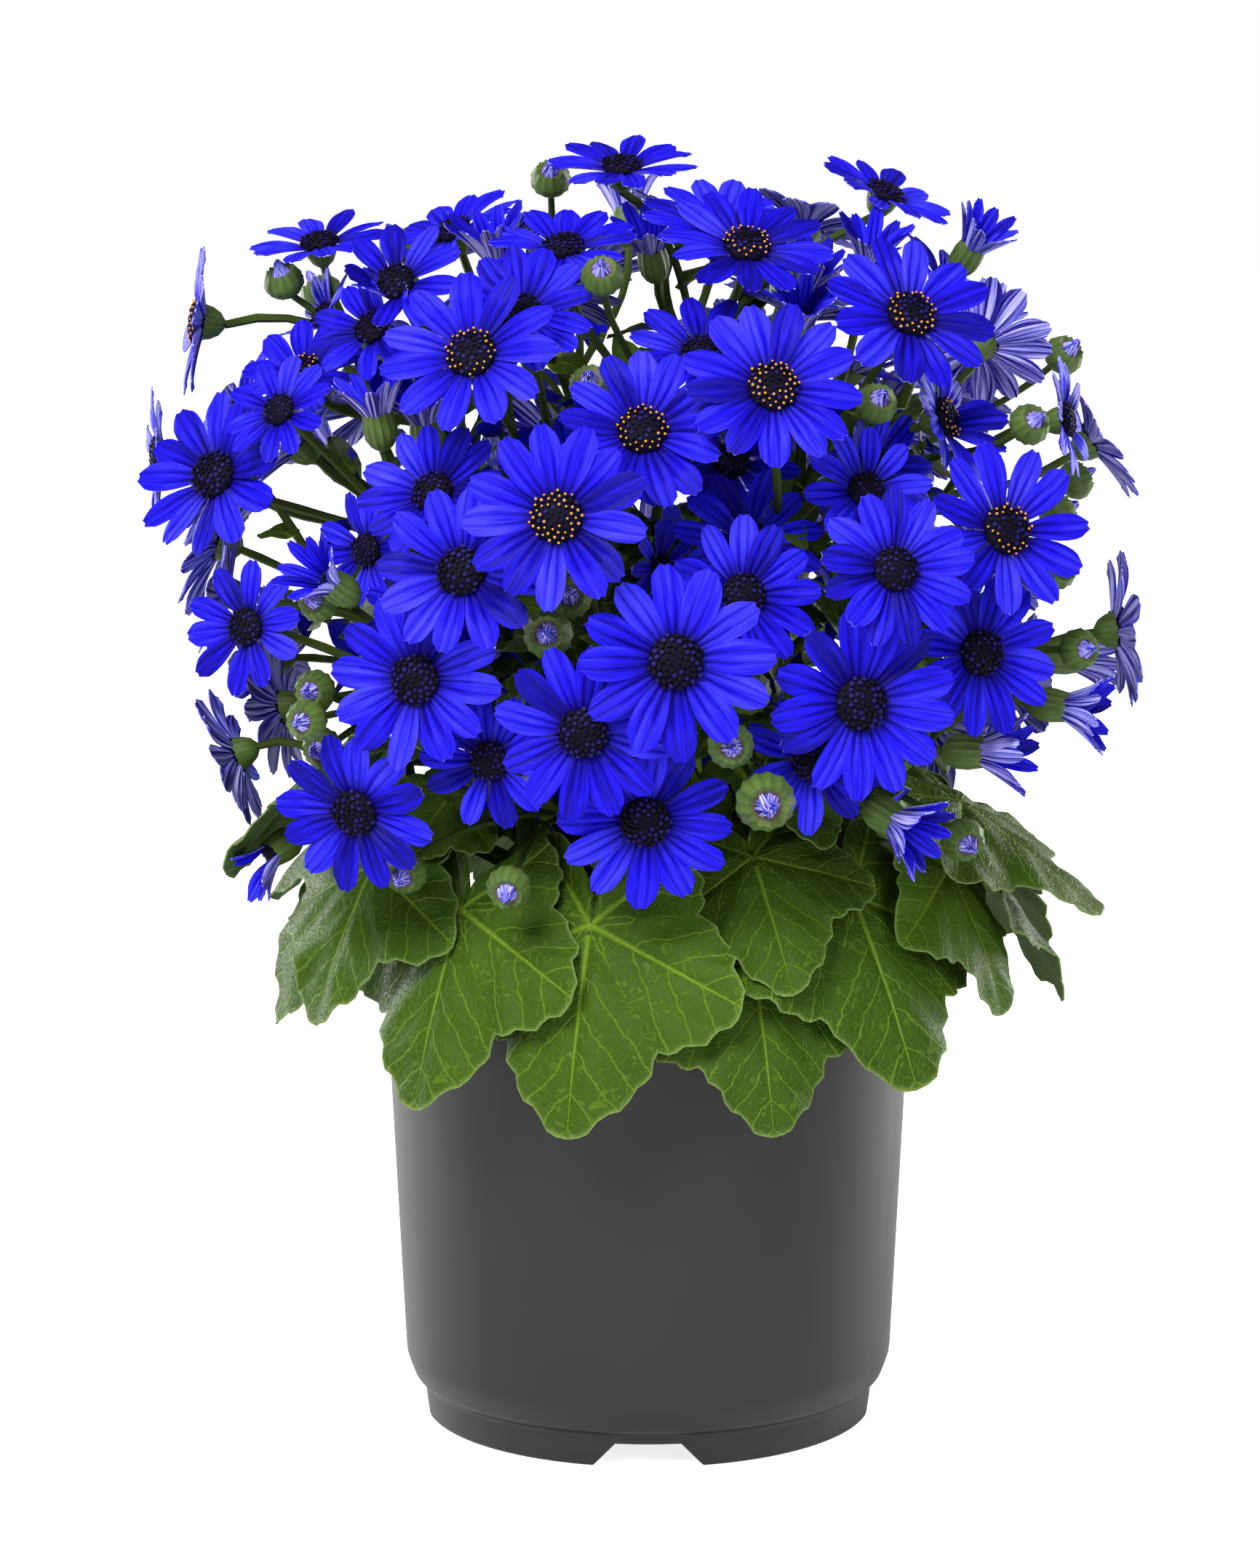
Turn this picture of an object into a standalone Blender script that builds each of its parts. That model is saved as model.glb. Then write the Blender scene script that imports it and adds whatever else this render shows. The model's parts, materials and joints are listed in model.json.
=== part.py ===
"""A florist cineraria in its nursery pot: pot, soil, main stem, lobed leaves and flower sprays.

Metres, +Z up. The origin is at the centre of the pot's base, and the front of the plant faces -Y.
Every leaf and every spray leaves the main stem. A spray is one branching stem with its heads, fused.
"""

import math

import bmesh
import bpy
from mathutils import Matrix, Vector
from mathutils.bvhtree import BVHTree

MM = 0.001
TOUCH_GAP = 0.3 * MM

# Pot, as (radius, height) corners from the floor's middle round the outside to the inside.
POT_HEIGHT = 150 * MM
POT_RIM_RADIUS = 84.3 * MM
POT_BAND_HEIGHT = 11 * MM
POT_WALL = 1.9 * MM
POT_BODY_TOP_RADIUS = 82.4 * MM
POT_BODY_LOW_RADIUS = 76.0 * MM
POT_BODY_LOW = 19 * MM
FOOT_RADIUS = 70.0 * MM
FOOT_WIDTH = 3.2 * MM
FOOT_HEIGHT = 10 * MM
FLOOR_THICKNESS = 2.2 * MM
POT_SIDES = 24
NOTCH_COUNT = 4
NOTCH_TOP = 20 * MM
NOTCH_BOTTOM = 34 * MM
NOTCH_HEIGHT = 7.5 * MM
DRAIN_COUNT = 4
DRAIN_RADIUS = 5 * MM
DRAIN_SIDES = 8
DRAIN_RING_RADIUS = 52 * MM

# Soil and main stem.
SOIL_TOP = 137 * MM
SOIL_SIDES = 16
STEM_HOLE_DEPTH = 14 * MM
MAIN_STEM_TOP = 252 * MM
MAIN_STEM_LOW_RADIUS = 8.5 * MM
MAIN_STEM_TOP_RADIUS = 4.5 * MM
MAIN_STEM_SIDES = 8

# The dome that the heads lie on, and the eye that the front heads were read from.
DOME_CENTRE_HEIGHT = 258 * MM
DOME_RADIUS = 148 * MM
DOME_RISE = 131 * MM
DOME_DROP = 112 * MM
FRONT_PULL = 0.8
EYE = Vector((0, -1500 * MM, 445 * MM))

# Heads: petals spring from a disc, and the stalk widens behind it into a green cup.
DISC_SHARE = 0.155
DISC_RISE = 2.2 * MM
ROOT_THICKNESS = 2.0 * MM
PETAL_RISE = 0.4 * MM
OPEN_PETALS = 7
SMALL_PETALS = 6
SMALL_DIAMETER = 44.5 * MM
HALF_PETALS = 5
OPEN_LIFT = math.radians(13)
HALF_LIFT = math.radians(63)
CUP_DEPTH = 8 * MM
HALF_CUP_DEPTH = 12 * MM
CUP_SHARE = 0.78
BUD_SIDES = 5
STALK_RADIUS = 1.25 * MM
SPRAY_STEM_RADIUS = 2.1 * MM
STALK_SIDES = 3
STEM_CLEARANCE = 0.5 * MM
SPRAY_STEM_SIDES = 3
HEAD_CLEARANCE = 7.5 * MM
PETAL_CLEARANCE = 0.5 * MM
SINK_STEP = 4 * MM
MOST_SINK = 60 * MM
LIFT_CHOICES = (0, 8, -8, 17, -16, 27, -25, 38, 50, 62, 74, -38)

# Sprays: their middles follow a spiral over the dome.
SPRAY_COUNT = 30
GOLDEN_ANGLE = math.radians(137.507764)
SPRAY_LOWEST = -0.55
FORK_SHARE = 0.62
FORK_SPACING = 2.6
SPRAY_SWINGS = (0, 0.35, -0.35, 0.7, -0.7, 1.05, -1.05, 1.4, -1.4)

# Leaves.
LEAF_THICKNESS = 0.8 * MM
LOBES = 5
PETIOLE_RADIUS = 2.0 * MM
PETIOLE_SIDES = 3

# The heads that the photo shows: across, height above the table, diameter in mm, and their stage. A head
# that doesn't face straight out of the dome has its own turn from the front to the right and its own tilt,
# in degrees.
FRONT_HEADS = (
    (-54, 331, 53, "open", None),
    (-133, 294, 53, "open", None),
    (-28, 281, 54, "open", (-8, 14)),
    (80, 343, 53, "open", None),
    (38, 321, 53, "open", None),
    (110, 277, 53, "open", None),
    (76, 265, 47, "open", None),
    (9, 235, 57, "open", None),
    (70, 222, 56, "open", None),
    (109, 238, 49, "open", None),
    (37, 258, 46, "open", None),
    (-61, 265, 51, "open", None),
    (-22, 212, 52, "open", None),
    (-91, 189, 50, "open", None),
    (-79, 229, 53, "open", None),
    (-1, 184, 53, "open", None),
    (45, 286, 46, "open", (10, 30)),
    (-2, 314, 51, "open", None),
    (-77, 296, 45, "open", (-20, 30)),
    (-115, 333, 45, "open", (-35, 45)),
    (78, 297, 40, "open", None),
    (-124, 247, 41, "open", None),
    (-31, 318, 44, "open", (-15, 55)),
    (-137, 341, 48, "open", (-82, 8)),
    (-77, 353, 44, "open", None),
    (58, 203, 44, "open", None),
    (-86, 249, 40, "open", (-25, 10)),
    (-58, 202, 42, "open", None),
    (105, 323, 46, "open", (70, 20)),
    (-41, 350, 46, "open", None),
    (30, 364, 50, "open", (10, 55)),
    (19, 347, 46, "open", (0, 50)),
    (-100, 365, 44, "open", (-30, 72)),
    (-10, 341, 46, "open", None),
    (23, 378, 48, "open", (15, 62)),
    (-28, 375, 46, "open", (-10, 66)),
    (-8, 388, 46, "open", (0, 74)),
    (-66, 383, 46, "open", (-55, 60)),
    (-41, 392, 48, "open", (170, 58)),
    (14, 390, 44, "open", (120, 62)),
    (72, 380, 44, "open", (60, 62)),
    (42, 342, 42, "open", (5, 25)),
    (-118, 364, 34, "open", (-75, 35)),
    (-132, 319, 44, "open", (-72, 36)),
    (-150, 300, 42, "open", (-80, 0)),
    (-113, 314, 36, "open", None),
    (-112, 277, 36, "open", (-35, 5)),
    (98, 363, 38, "open", (70, 45)),
    (110, 343, 46, "open", (165, 25)),
    (92, 316, 44, "open", (40, 20)),
    (128, 311, 38, "open", (75, 10)),
    (7, 278, 30, "open", (50, -5)),
    (8, 351, 44, "open", (-25, 45)),
    (-89, 345, 40, "open", None),
    (-51, 376, 36, "half", (-30, 66)),
    (-43, 361, 34, "half", (-10, 60)),
    (-96, 325, 34, "half", (-25, 70)),
    (-90, 335, 34, "half", (-15, 60)),
    (73, 370, 34, "half", (20, 62)),
    (99, 364, 32, "half", (45, 50)),
    (109, 352, 32, "half", (55, 40)),
    (54, 366, 34, "half", (25, 65)),
    (52, 354, 32, "half", (10, 55)),
    (1, 387, 32, "half", (-20, 60)),
    (-45, 199, 34, "half", (-75, 5)),
    (110, 207, 36, "half", (75, 0)),
    (77, 186, 36, "half", (50, -20)),
    (129, 222, 34, "half", (70, -5)),
    (97, 293, 32, "half", (35, 40)),
    (-98, 261, 32, "half", (-45, 30)),
    (-117, 176, 34, "half", (-50, -25)),
    (36, 193, 18, "bud", None),
    (-116, 358, 13, "bud", (-30, 60)),
    (-31, 391, 13, "bud", (0, 50)),
    (-21, 338, 13, "bud", None),
    (-14, 354, 13, "bud", None),
    (-4, 339, 13, "bud", None),
    (-79, 288, 13, "bud", None),
    (-50, 298, 14, "bud", None),
    (78, 325, 13, "bud", None),
    (116, 309, 13, "bud", None),
    (126, 330, 13, "bud", None),
    (-37, 242, 15, "bud", None),
    (-84, 210, 13, "bud", None),
    (-112, 226, 13, "bud", None),
    (-105, 218, 13, "bud", None),
    (-75, 171, 14, "bud", None),
    (-107, 255, 13, "bud", None),
    (-110, 208, 13, "bud", None),
    (-43, 166, 14, "bud", None),
    (-32, 257, 13, "bud", None),
    (27, 209, 14, "bud", None),
    (40, 222, 14, "bud", None),
    (97, 181, 14, "bud", None),
    (132, 240, 13, "bud", None),
    (125, 265, 13, "bud", None),
)

# The back carries the same mix, dealt out in this order along a spiral.
BACK_STAGES = ("open", "open", "half", "open", "open", "bud", "open", "open", "open", "bud")
BACK_DIAMETERS = (52, 46, 34, 50, 44, 13, 53, 47, 51, 14)
BACK_COUNT = 52
BACK_FLATTENING = 0.955

# Leaves: turn from the front to the right in degrees, distance and height of the blade's root in mm, blade
# length in mm, the blade's droop and the swing of its tip to the right, in degrees.
OUTER_LEAVES = (
    (-10, 97, 172, 62, 66, -14),
    (38, 98, 177, 60, 52, 0),
    (18, 100, 160, 50, 60, 0),
    (-30, 94, 166, 60, 62, -8),
    (72, 100, 198, 54, 28, 0),
    (-57, 98, 182, 50, 52, 8),
    (60, 104, 174, 46, 56, 6),
    (-76, 98, 188, 48, 34, 0),
    (20, 90, 190, 44, 42, 0),
    (82, 106, 174, 46, 50, 4),
    (-98, 96, 172, 58, 56, 0),
    (106, 96, 186, 60, 44, 0),
    (131, 98, 170, 60, 58, 6),
    (152, 94, 184, 58, 46, 0),
    (176, 98, 170, 62, 60, -6),
    (201, 95, 186, 58, 44, 0),
    (226, 98, 171, 60, 58, 6),
    (246, 96, 188, 56, 42, 0),
)
INNER_LEAVES = (
    (31, 82, 204, 26, 30, 0),
    (-44, 84, 198, 26, 34, 0),
    (-110, 62, 218, 34, 22, 0),
    (100, 62, 222, 34, 20, 0),
    (160, 62, 214, 34, 22, 0),
    (215, 62, 220, 34, 20, 0),
)
LEAF_SHIFTS = (0, 6, -6, 12, -12)
LEAF_ROLLS = (0, 14, -14, 26, -26)
LEAF_LIFTS = (0, 7, -6, 14, 22)


def clear_scene():
    for item in list(bpy.data.objects):
        bpy.data.objects.remove(item, do_unlink=True)
    for mesh in list(bpy.data.meshes):
        bpy.data.meshes.remove(mesh)


def make_material(name, colour, roughness):
    """A Principled material of one colour, given as linear red, green and blue."""
    material = bpy.data.materials.new(name)
    material.use_nodes = True
    shader = material.node_tree.nodes["Principled BSDF"]
    shader.inputs["Base Color"].default_value = (*colour, 1)
    shader.inputs["Roughness"].default_value = roughness
    shader.inputs["Metallic"].default_value = 0
    return material


def make_object(name, bm, materials):
    """Puts a bmesh into the scene as an object with these materials, and frees it."""
    mesh = bpy.data.meshes.new(name)
    bm.to_mesh(mesh)
    bm.free()
    for material in materials:
        mesh.materials.append(material)
    item = bpy.data.objects.new(name, mesh)
    bpy.context.scene.collection.objects.link(item)
    return item


def smooth(item, degrees=40):
    item.data.shade_smooth()
    item.data.set_sharp_from_angle(angle=math.radians(degrees))


def apply_boolean(item, operation, cutters):
    """Applies one Boolean with a collection of objects, and removes the collection and what it holds."""
    collection = bpy.data.collections.new(item.name + "_others")
    bpy.context.scene.collection.children.link(collection)
    for cutter in cutters:
        bpy.context.scene.collection.objects.unlink(cutter)
        collection.objects.link(cutter)
    modifier = item.modifiers.new("join", "BOOLEAN")
    modifier.operation = operation
    modifier.operand_type = "COLLECTION"
    modifier.collection = collection
    modifier.solver = "MANIFOLD"
    bpy.context.view_layer.update()
    graph = bpy.context.evaluated_depsgraph_get()
    mesh = bpy.data.meshes.new_from_object(item.evaluated_get(graph))
    item.modifiers.clear()
    item.data = mesh
    for cutter in cutters:
        bpy.data.objects.remove(cutter, do_unlink=True)
    bpy.data.collections.remove(collection)


def turned(profile, sides):
    """A closed solid turned about Z from (radius, height) corners that start and end on the axis."""
    bm = bmesh.new()
    corners = [bm.verts.new((radius, 0, height)) for radius, height in profile]
    edges = [bm.edges.new(pair) for pair in zip(corners, corners[1:])]
    bmesh.ops.spin(
        bm,
        geom=corners + edges,
        axis=(0, 0, 1),
        cent=(0, 0, 0),
        angle=math.tau,
        steps=sides,
        use_merge=True,
    )
    bmesh.ops.remove_doubles(bm, verts=bm.verts, dist=MM / 100)
    bmesh.ops.recalc_face_normals(bm, faces=bm.faces)
    return bm


def prism_cutter(name, corners, depth):
    """A solid through the outline in X and Z, centred on Y."""
    bm = bmesh.new()
    outline = [bm.verts.new((x, -depth / 2, z)) for x, z in corners]
    face = bm.faces.new(outline)
    pushed = bmesh.ops.extrude_face_region(bm, geom=[face])["geom"]
    moved = [part for part in pushed if isinstance(part, bmesh.types.BMVert)]
    bmesh.ops.translate(bm, verts=moved, vec=(0, depth, 0))
    bmesh.ops.recalc_face_normals(bm, faces=bm.faces)
    return make_object(name, bm, [])


def notch_cutters():
    corners = (
        (-NOTCH_BOTTOM / 2, -MM),
        (NOTCH_BOTTOM / 2, -MM),
        (NOTCH_BOTTOM / 2, 0),
        (NOTCH_TOP / 2, NOTCH_HEIGHT),
        (-NOTCH_TOP / 2, NOTCH_HEIGHT),
        (-NOTCH_BOTTOM / 2, 0),
    )
    cutters = []
    for i in range(NOTCH_COUNT):
        cutter = prism_cutter(f"notch_{i}", corners, 4 * FOOT_WIDTH)
        spin = Matrix.Rotation(i * math.tau / NOTCH_COUNT, 4, "Z")
        cutter.data.transform(spin @ Matrix.Translation((0, -FOOT_RADIUS + FOOT_WIDTH / 2, 0)))
        cutters.append(cutter)
    return cutters


def drain_cutters():
    cutters = []
    for i in range(DRAIN_COUNT):
        bm = bmesh.new()
        bmesh.ops.create_cone(
            bm,
            cap_ends=True,
            segments=DRAIN_SIDES,
            radius1=DRAIN_RADIUS,
            radius2=DRAIN_RADIUS,
            depth=4 * FLOOR_THICKNESS,
        )
        turn = (i + 0.5) * math.tau / DRAIN_COUNT
        place = (DRAIN_RING_RADIUS * math.cos(turn), DRAIN_RING_RADIUS * math.sin(turn), FOOT_HEIGHT)
        bmesh.ops.translate(bm, verts=bm.verts, vec=place)
        cutters.append(make_object(f"drain_{i}", bm, []))
    return cutters


def body_radius(height):
    """The outer radius of the pot's wall at this height."""
    share = (height - POT_BODY_LOW) / (POT_HEIGHT - POT_BODY_LOW)
    return POT_BODY_LOW_RADIUS + share * (POT_BODY_TOP_RADIUS - POT_BODY_LOW_RADIUS)


def make_pot(material):
    floor_low = FOOT_HEIGHT - FLOOR_THICKNESS / 2
    floor_top = floor_low + FLOOR_THICKNESS
    band_low = POT_HEIGHT - POT_BAND_HEIGHT
    profile = (
        (0, floor_low),
        (FOOT_RADIUS - FOOT_WIDTH, floor_low),
        (FOOT_RADIUS - FOOT_WIDTH, 0),
        (FOOT_RADIUS, 0),
        (FOOT_RADIUS + 0.4 * MM, FOOT_HEIGHT),
        (FOOT_RADIUS + 3.4 * MM, FOOT_HEIGHT + 2 * MM),
        (POT_BODY_LOW_RADIUS, POT_BODY_LOW),
        (body_radius(band_low), band_low),
        (POT_RIM_RADIUS, band_low + MM),
        (POT_RIM_RADIUS, POT_HEIGHT),
        (body_radius(POT_HEIGHT) - POT_WALL, POT_HEIGHT),
        (POT_BODY_LOW_RADIUS - POT_WALL, POT_BODY_LOW),
        (FOOT_RADIUS - FOOT_WIDTH, floor_top),
        (0, floor_top),
    )
    pot = make_object("pot", turned(profile, POT_SIDES), [material])
    apply_boolean(pot, "DIFFERENCE", notch_cutters() + drain_cutters())
    smooth(pot, 30)
    return pot


def make_soil(material):
    """The soil fills the pot, with one plain hole in which the main stem stands."""
    floor_top = FOOT_HEIGHT + FLOOR_THICKNESS / 2 + TOUCH_GAP
    low = FOOT_RADIUS - FOOT_WIDTH - TOUCH_GAP - MM
    mid = POT_BODY_LOW_RADIUS - POT_WALL - 3 * TOUCH_GAP
    top = body_radius(SOIL_TOP) - POT_WALL - 3 * TOUCH_GAP
    profile = ((0, floor_top), (low, floor_top), (mid, POT_BODY_LOW + MM), (top, SOIL_TOP), (0, SOIL_TOP))
    soil = make_object("soil", turned(profile, SOIL_SIDES), [material])
    hole = bmesh.new()
    bmesh.ops.create_cone(
        hole,
        cap_ends=True,
        segments=MAIN_STEM_SIDES,
        radius1=MAIN_STEM_LOW_RADIUS + 2 * TOUCH_GAP,
        radius2=MAIN_STEM_LOW_RADIUS + 2 * TOUCH_GAP,
        depth=2 * STEM_HOLE_DEPTH,
    )
    bmesh.ops.translate(hole, verts=hole.verts, vec=(0, 0, SOIL_TOP))
    apply_boolean(soil, "DIFFERENCE", [make_object("stem_hole", hole, [])])
    return soil


def main_stem_radius(height):
    share = (height - SOIL_TOP) / (MAIN_STEM_TOP - SOIL_TOP)
    return MAIN_STEM_LOW_RADIUS + share * (MAIN_STEM_TOP_RADIUS - MAIN_STEM_LOW_RADIUS)


def make_main_stem(material):
    low = SOIL_TOP - STEM_HOLE_DEPTH + TOUCH_GAP
    bm = bmesh.new()
    bmesh.ops.create_cone(
        bm,
        cap_ends=True,
        segments=MAIN_STEM_SIDES,
        radius1=MAIN_STEM_LOW_RADIUS,
        radius2=MAIN_STEM_TOP_RADIUS,
        depth=MAIN_STEM_TOP - low,
    )
    bmesh.ops.translate(bm, verts=bm.verts, vec=(0, 0, (MAIN_STEM_TOP + low) / 2))
    return make_object("main_stem", bm, [material])


def toward(turn, tilt):
    """The unit vector at this turn from the front to the right, raised by this tilt, in degrees."""
    turn = math.radians(turn)
    tilt = math.radians(tilt)
    return Vector((math.sin(turn) * math.cos(tilt), -math.cos(turn) * math.cos(tilt), math.sin(tilt)))


def dome_half_height(up):
    return DOME_RISE if up > 0 else DOME_DROP


def dome_normal(point):
    up = point.z - DOME_CENTRE_HEIGHT
    return Vector(
        (point.x / DOME_RADIUS**2, point.y / DOME_RADIUS**2, up / dome_half_height(up) ** 2)
    ).normalized()


def dome_point_seen(across, height):
    """Where the sight line through this point of the upright middle plane first meets the dome."""
    aim = Vector((across, 0, height))
    sight = (aim - EYE).normalized()
    half = dome_half_height(height - DOME_CENTRE_HEIGHT)
    squash = Vector((1 / DOME_RADIUS, 1 / DOME_RADIUS, 1 / half))
    start = (EYE - Vector((0, 0, DOME_CENTRE_HEIGHT))) * squash
    step = sight * squash
    a = step.dot(step)
    b = start.dot(step)
    rest = b * b - a * (start.dot(start) - 1)
    reach = (-b - math.sqrt(max(rest, 0))) / a
    return EYE + sight * reach


def default_facing(point):
    """Heads face out of the dome, leaning a little up to the light."""
    return (dome_normal(point) + Vector((0, 0, 0.25))).normalized()


def seen_facing(point):
    """Heads on the seen side turn partly to the front, where the light came from."""
    return (dome_normal(point) + Vector((0, -FRONT_PULL, 0.3))).normalized()


def front_heads():
    heads = []
    for across, height, diameter, stage, facing in FRONT_HEADS:
        point = dome_point_seen(across * MM, height * MM)
        normal = toward(*facing) if facing else seen_facing(point)
        heads.append({"place": point, "facing": normal, "diameter": diameter * MM, "stage": stage})
    return heads


def back_heads():
    """The unseen half: a spiral from the top of the dome down, kept to the far side."""
    heads = []
    for i in range(BACK_COUNT):
        rise = 0.93 - 1.42 * (i + 0.5) / BACK_COUNT
        turn = (i * GOLDEN_ANGLE) % math.pi
        level = math.sqrt(1 - rise * rise)
        point = Vector(
            (
                DOME_RADIUS * level * math.cos(turn),
                DOME_RADIUS * level * math.sin(turn) * BACK_FLATTENING,
                DOME_CENTRE_HEIGHT + dome_half_height(rise) * rise,
            )
        )
        kind = i % len(BACK_STAGES)
        heads.append(
            {
                "place": point,
                "facing": default_facing(point),
                "diameter": BACK_DIAMETERS[kind] * MM,
                "stage": BACK_STAGES[kind],
            }
        )
    return heads


def reach_of(head):
    """How far this head spreads from its middle, across its facing."""
    return head["diameter"] / 2 * {"open": 0.97, "half": 0.55, "bud": 1.0}[head["stage"]]


def discs_cross(one, other):
    """Whether the rim or the half-way ring of one head comes within the clearance of the other's disc."""
    between = other["place"] - one["place"]
    if between.length > reach_of(one) + reach_of(other):
        return False
    side = one["facing"].orthogonal().normalized()
    up = one["facing"].cross(side)
    reach = reach_of(one)
    for share in (0.0, 0.55, 1.0):
        for i in range(12):
            turn = i * math.tau / 12
            point = one["place"] + share * reach * (math.cos(turn) * side + math.sin(turn) * up)
            offset = point - other["place"]
            along = offset.dot(other["facing"])
            if abs(along) > HEAD_CLEARANCE:
                continue
            if (offset - along * other["facing"]).length < reach_of(other):
                return True
    return False


def settle(heads):
    """Sinks each head into the dome until it clears the heads before it. The ones that can't are left out."""
    settled = []
    for head in heads:
        start = head["place"]
        out = dome_normal(start)
        inward = -Vector((out.x, out.y, max(out.z, 0))).normalized()
        for step in range(int(MOST_SINK / SINK_STEP) + 1):
            head["place"] = start + inward * (step * SINK_STEP)
            if not any(discs_cross(head, other) or discs_cross(other, head) for other in settled):
                settled.append(head)
                break
    return settled


def spray_middles():
    """Directions out of the dome's middle, spread evenly by a spiral from the top down."""
    middles = []
    for i in range(SPRAY_COUNT):
        rise = 1 - (1 - SPRAY_LOWEST) * (i + 0.5) / SPRAY_COUNT
        turn = i * GOLDEN_ANGLE
        level = math.sqrt(1 - rise * rise)
        middles.append(Vector((level * math.cos(turn), level * math.sin(turn), rise)))
    return middles


def group_sprays(heads):
    """Gives each head to the spray whose middle is nearest, and drops sprays that got none."""
    middles = spray_middles()
    groups = [[] for _ in middles]
    for head in heads:
        out = head["place"] - Vector((0, 0, DOME_CENTRE_HEIGHT))
        out.z *= DOME_RADIUS / dome_half_height(out.z)
        nearest = max(range(len(middles)), key=lambda i: out.normalized().dot(middles[i]))
        groups[nearest].append(head)
    return [group for group in groups if group]


def curve_through(start, start_way, end, end_way, count):
    """Points along a smooth arc that leaves start one way and arrives at end the other way."""
    length = (end - start).length
    first = start + start_way * length * 0.4
    second = end - end_way * length * 0.4
    points = []
    for i in range(count + 1):
        t = i / count
        s = 1 - t
        points.append(s**3 * start + 3 * s * s * t * first + 3 * s * t * t * second + t**3 * end)
    return points


def tube_mesh(points, radii, sides, slot):
    """A closed tube through the points, built ring by ring by extruding its end."""
    bm = bmesh.new()
    ways = [(b - a).normalized() for a, b in zip(points, points[1:])]
    ways.append(ways[-1])
    made = bmesh.ops.create_circle(bm, cap_ends=True, segments=sides, radius=1)["verts"]
    frame = ways[0].to_track_quat("Z", "Y").to_matrix()
    template = [frame @ vert.co for vert in made]
    for vert, offset in zip(made, template):
        vert.co = points[0] + offset * radii[0]
    end = bm.faces[:][0]
    end.normal_update()
    if end.normal.dot(ways[0]) < 0:
        end.normal_flip()
    turned = frame
    for i in range(1, len(points)):
        bisector = (ways[i - 1] + ways[i]).normalized()
        before = turned.col[2].copy()
        turned = before.rotation_difference(bisector).to_matrix() @ turned
        if i == 1:
            pushed = bmesh.ops.extrude_face_region(bm, geom=[end])["geom"]
            end = next(part for part in pushed if isinstance(part, bmesh.types.BMFace))
        else:
            end = bmesh.ops.extrude_discrete_faces(bm, faces=[end])["faces"][0]
        old = points[i - 1]
        for vert in end.verts:
            offset = before.rotation_difference(bisector).to_matrix() @ (vert.co - old)
            vert.co = points[i] + offset * (radii[i] / radii[i - 1])
    bmesh.ops.recalc_face_normals(bm, faces=bm.faces)
    for face in bm.faces:
        face.material_index = slot
    return bm


def placed(bm, place, facing):
    """Turns a mesh made round +Z so that it faces this way from this place."""
    turn = facing.to_track_quat("Z", "Y").to_matrix().to_4x4()
    bmesh.ops.transform(bm, matrix=Matrix.Translation(place) @ turn, verts=bm.verts)
    return bm


def petal_turns(count):
    """The directions of a disc's walls, where its petals grow."""
    return [math.pi / 2 - (i + 0.5) * math.tau / count for i in range(count)]


def petal_corners(root, sideways, outward, lift, shape):
    """The left and right of a petal's broadest section and its tip, for a petal hinged at its root."""
    way = outward * math.cos(lift) + Vector((0, 0, math.sin(lift)))
    up = Vector((0, 0, math.cos(lift))) - outward * math.sin(lift)
    broadest = root + way * shape["length"] * 0.62 + up * PETAL_RISE
    side = sideways * shape["width"] / 2
    return broadest - side, broadest + side, root + way * shape["length"]


def head_shape(head):
    """The numbers that a head's mesh is made from."""
    half = head["stage"] == "half"
    radius = head["diameter"] / 2
    disc = 2 * radius * (0.13 if half else DISC_SHARE)
    count = OPEN_PETALS if head["diameter"] > SMALL_DIAMETER else SMALL_PETALS
    if half:
        count = HALF_PETALS
    lift = HALF_LIFT if half else OPEN_LIFT
    length = radius if half else radius - disc
    at_mid = disc + length * 0.62 * math.cos(lift)
    width = min(2 * radius * (0.22 if half else 0.27), 1.86 * at_mid * math.tan(math.pi / count))
    return {
        "disc": disc,
        "count": count,
        "lift": lift,
        "length": length,
        "width": width,
    }


def head_mesh(head, lifts):
    """Disc and petals in one closed body. A petal whose lift is None is left out."""
    shape = head_shape(head)
    count = shape["count"]
    bm = bmesh.new()
    disc = shape["disc"]
    bmesh.ops.create_cone(
        bm, cap_ends=True, segments=count, radius1=0.92 * disc, radius2=disc, depth=ROOT_THICKNESS
    )
    bm.normal_update()
    top = max(bm.faces, key=lambda face: face.calc_center_median().z)
    bottom = min(bm.faces, key=lambda face: face.calc_center_median().z)
    walls = [face for face in bm.faces if face not in (top, bottom)]
    roots = []
    for turn, lift in zip(petal_turns(count), lifts):
        outward = Vector((math.cos(turn), math.sin(turn), 0))
        wall = max(walls, key=lambda face: face.calc_center_median().dot(outward))
        root = outward * disc * math.cos(math.pi / count)
        if lift is not None:
            roots.append((wall, outward, root, lift))
    for wall, outward, root, lift in roots:
        pushed = bmesh.ops.extrude_discrete_faces(bm, faces=[wall])["faces"][0]
        sideways = Vector((-outward.y, outward.x, 0))
        left, right, tip = petal_corners(root, sideways, outward, lift, shape)
        low = [vert for vert in pushed.verts if vert.co.z < 0]
        for vert in pushed.verts:
            vert.co = right if (vert.co - root).dot(sideways) > 0 else left
        bmesh.ops.pointmerge(bm, verts=low, merge_co=tip)
    for face in bm.faces:
        face.material_index = 1
    crown = bmesh.ops.poke(bm, faces=[top])
    crown["verts"][0].co.z = ROOT_THICKNESS / 2 + DISC_RISE
    for face in crown["faces"]:
        face.material_index = 2
    bottom.material_index = 0
    bmesh.ops.recalc_face_normals(bm, faces=bm.faces)
    return placed(bm, head["place"], head["facing"])


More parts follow.
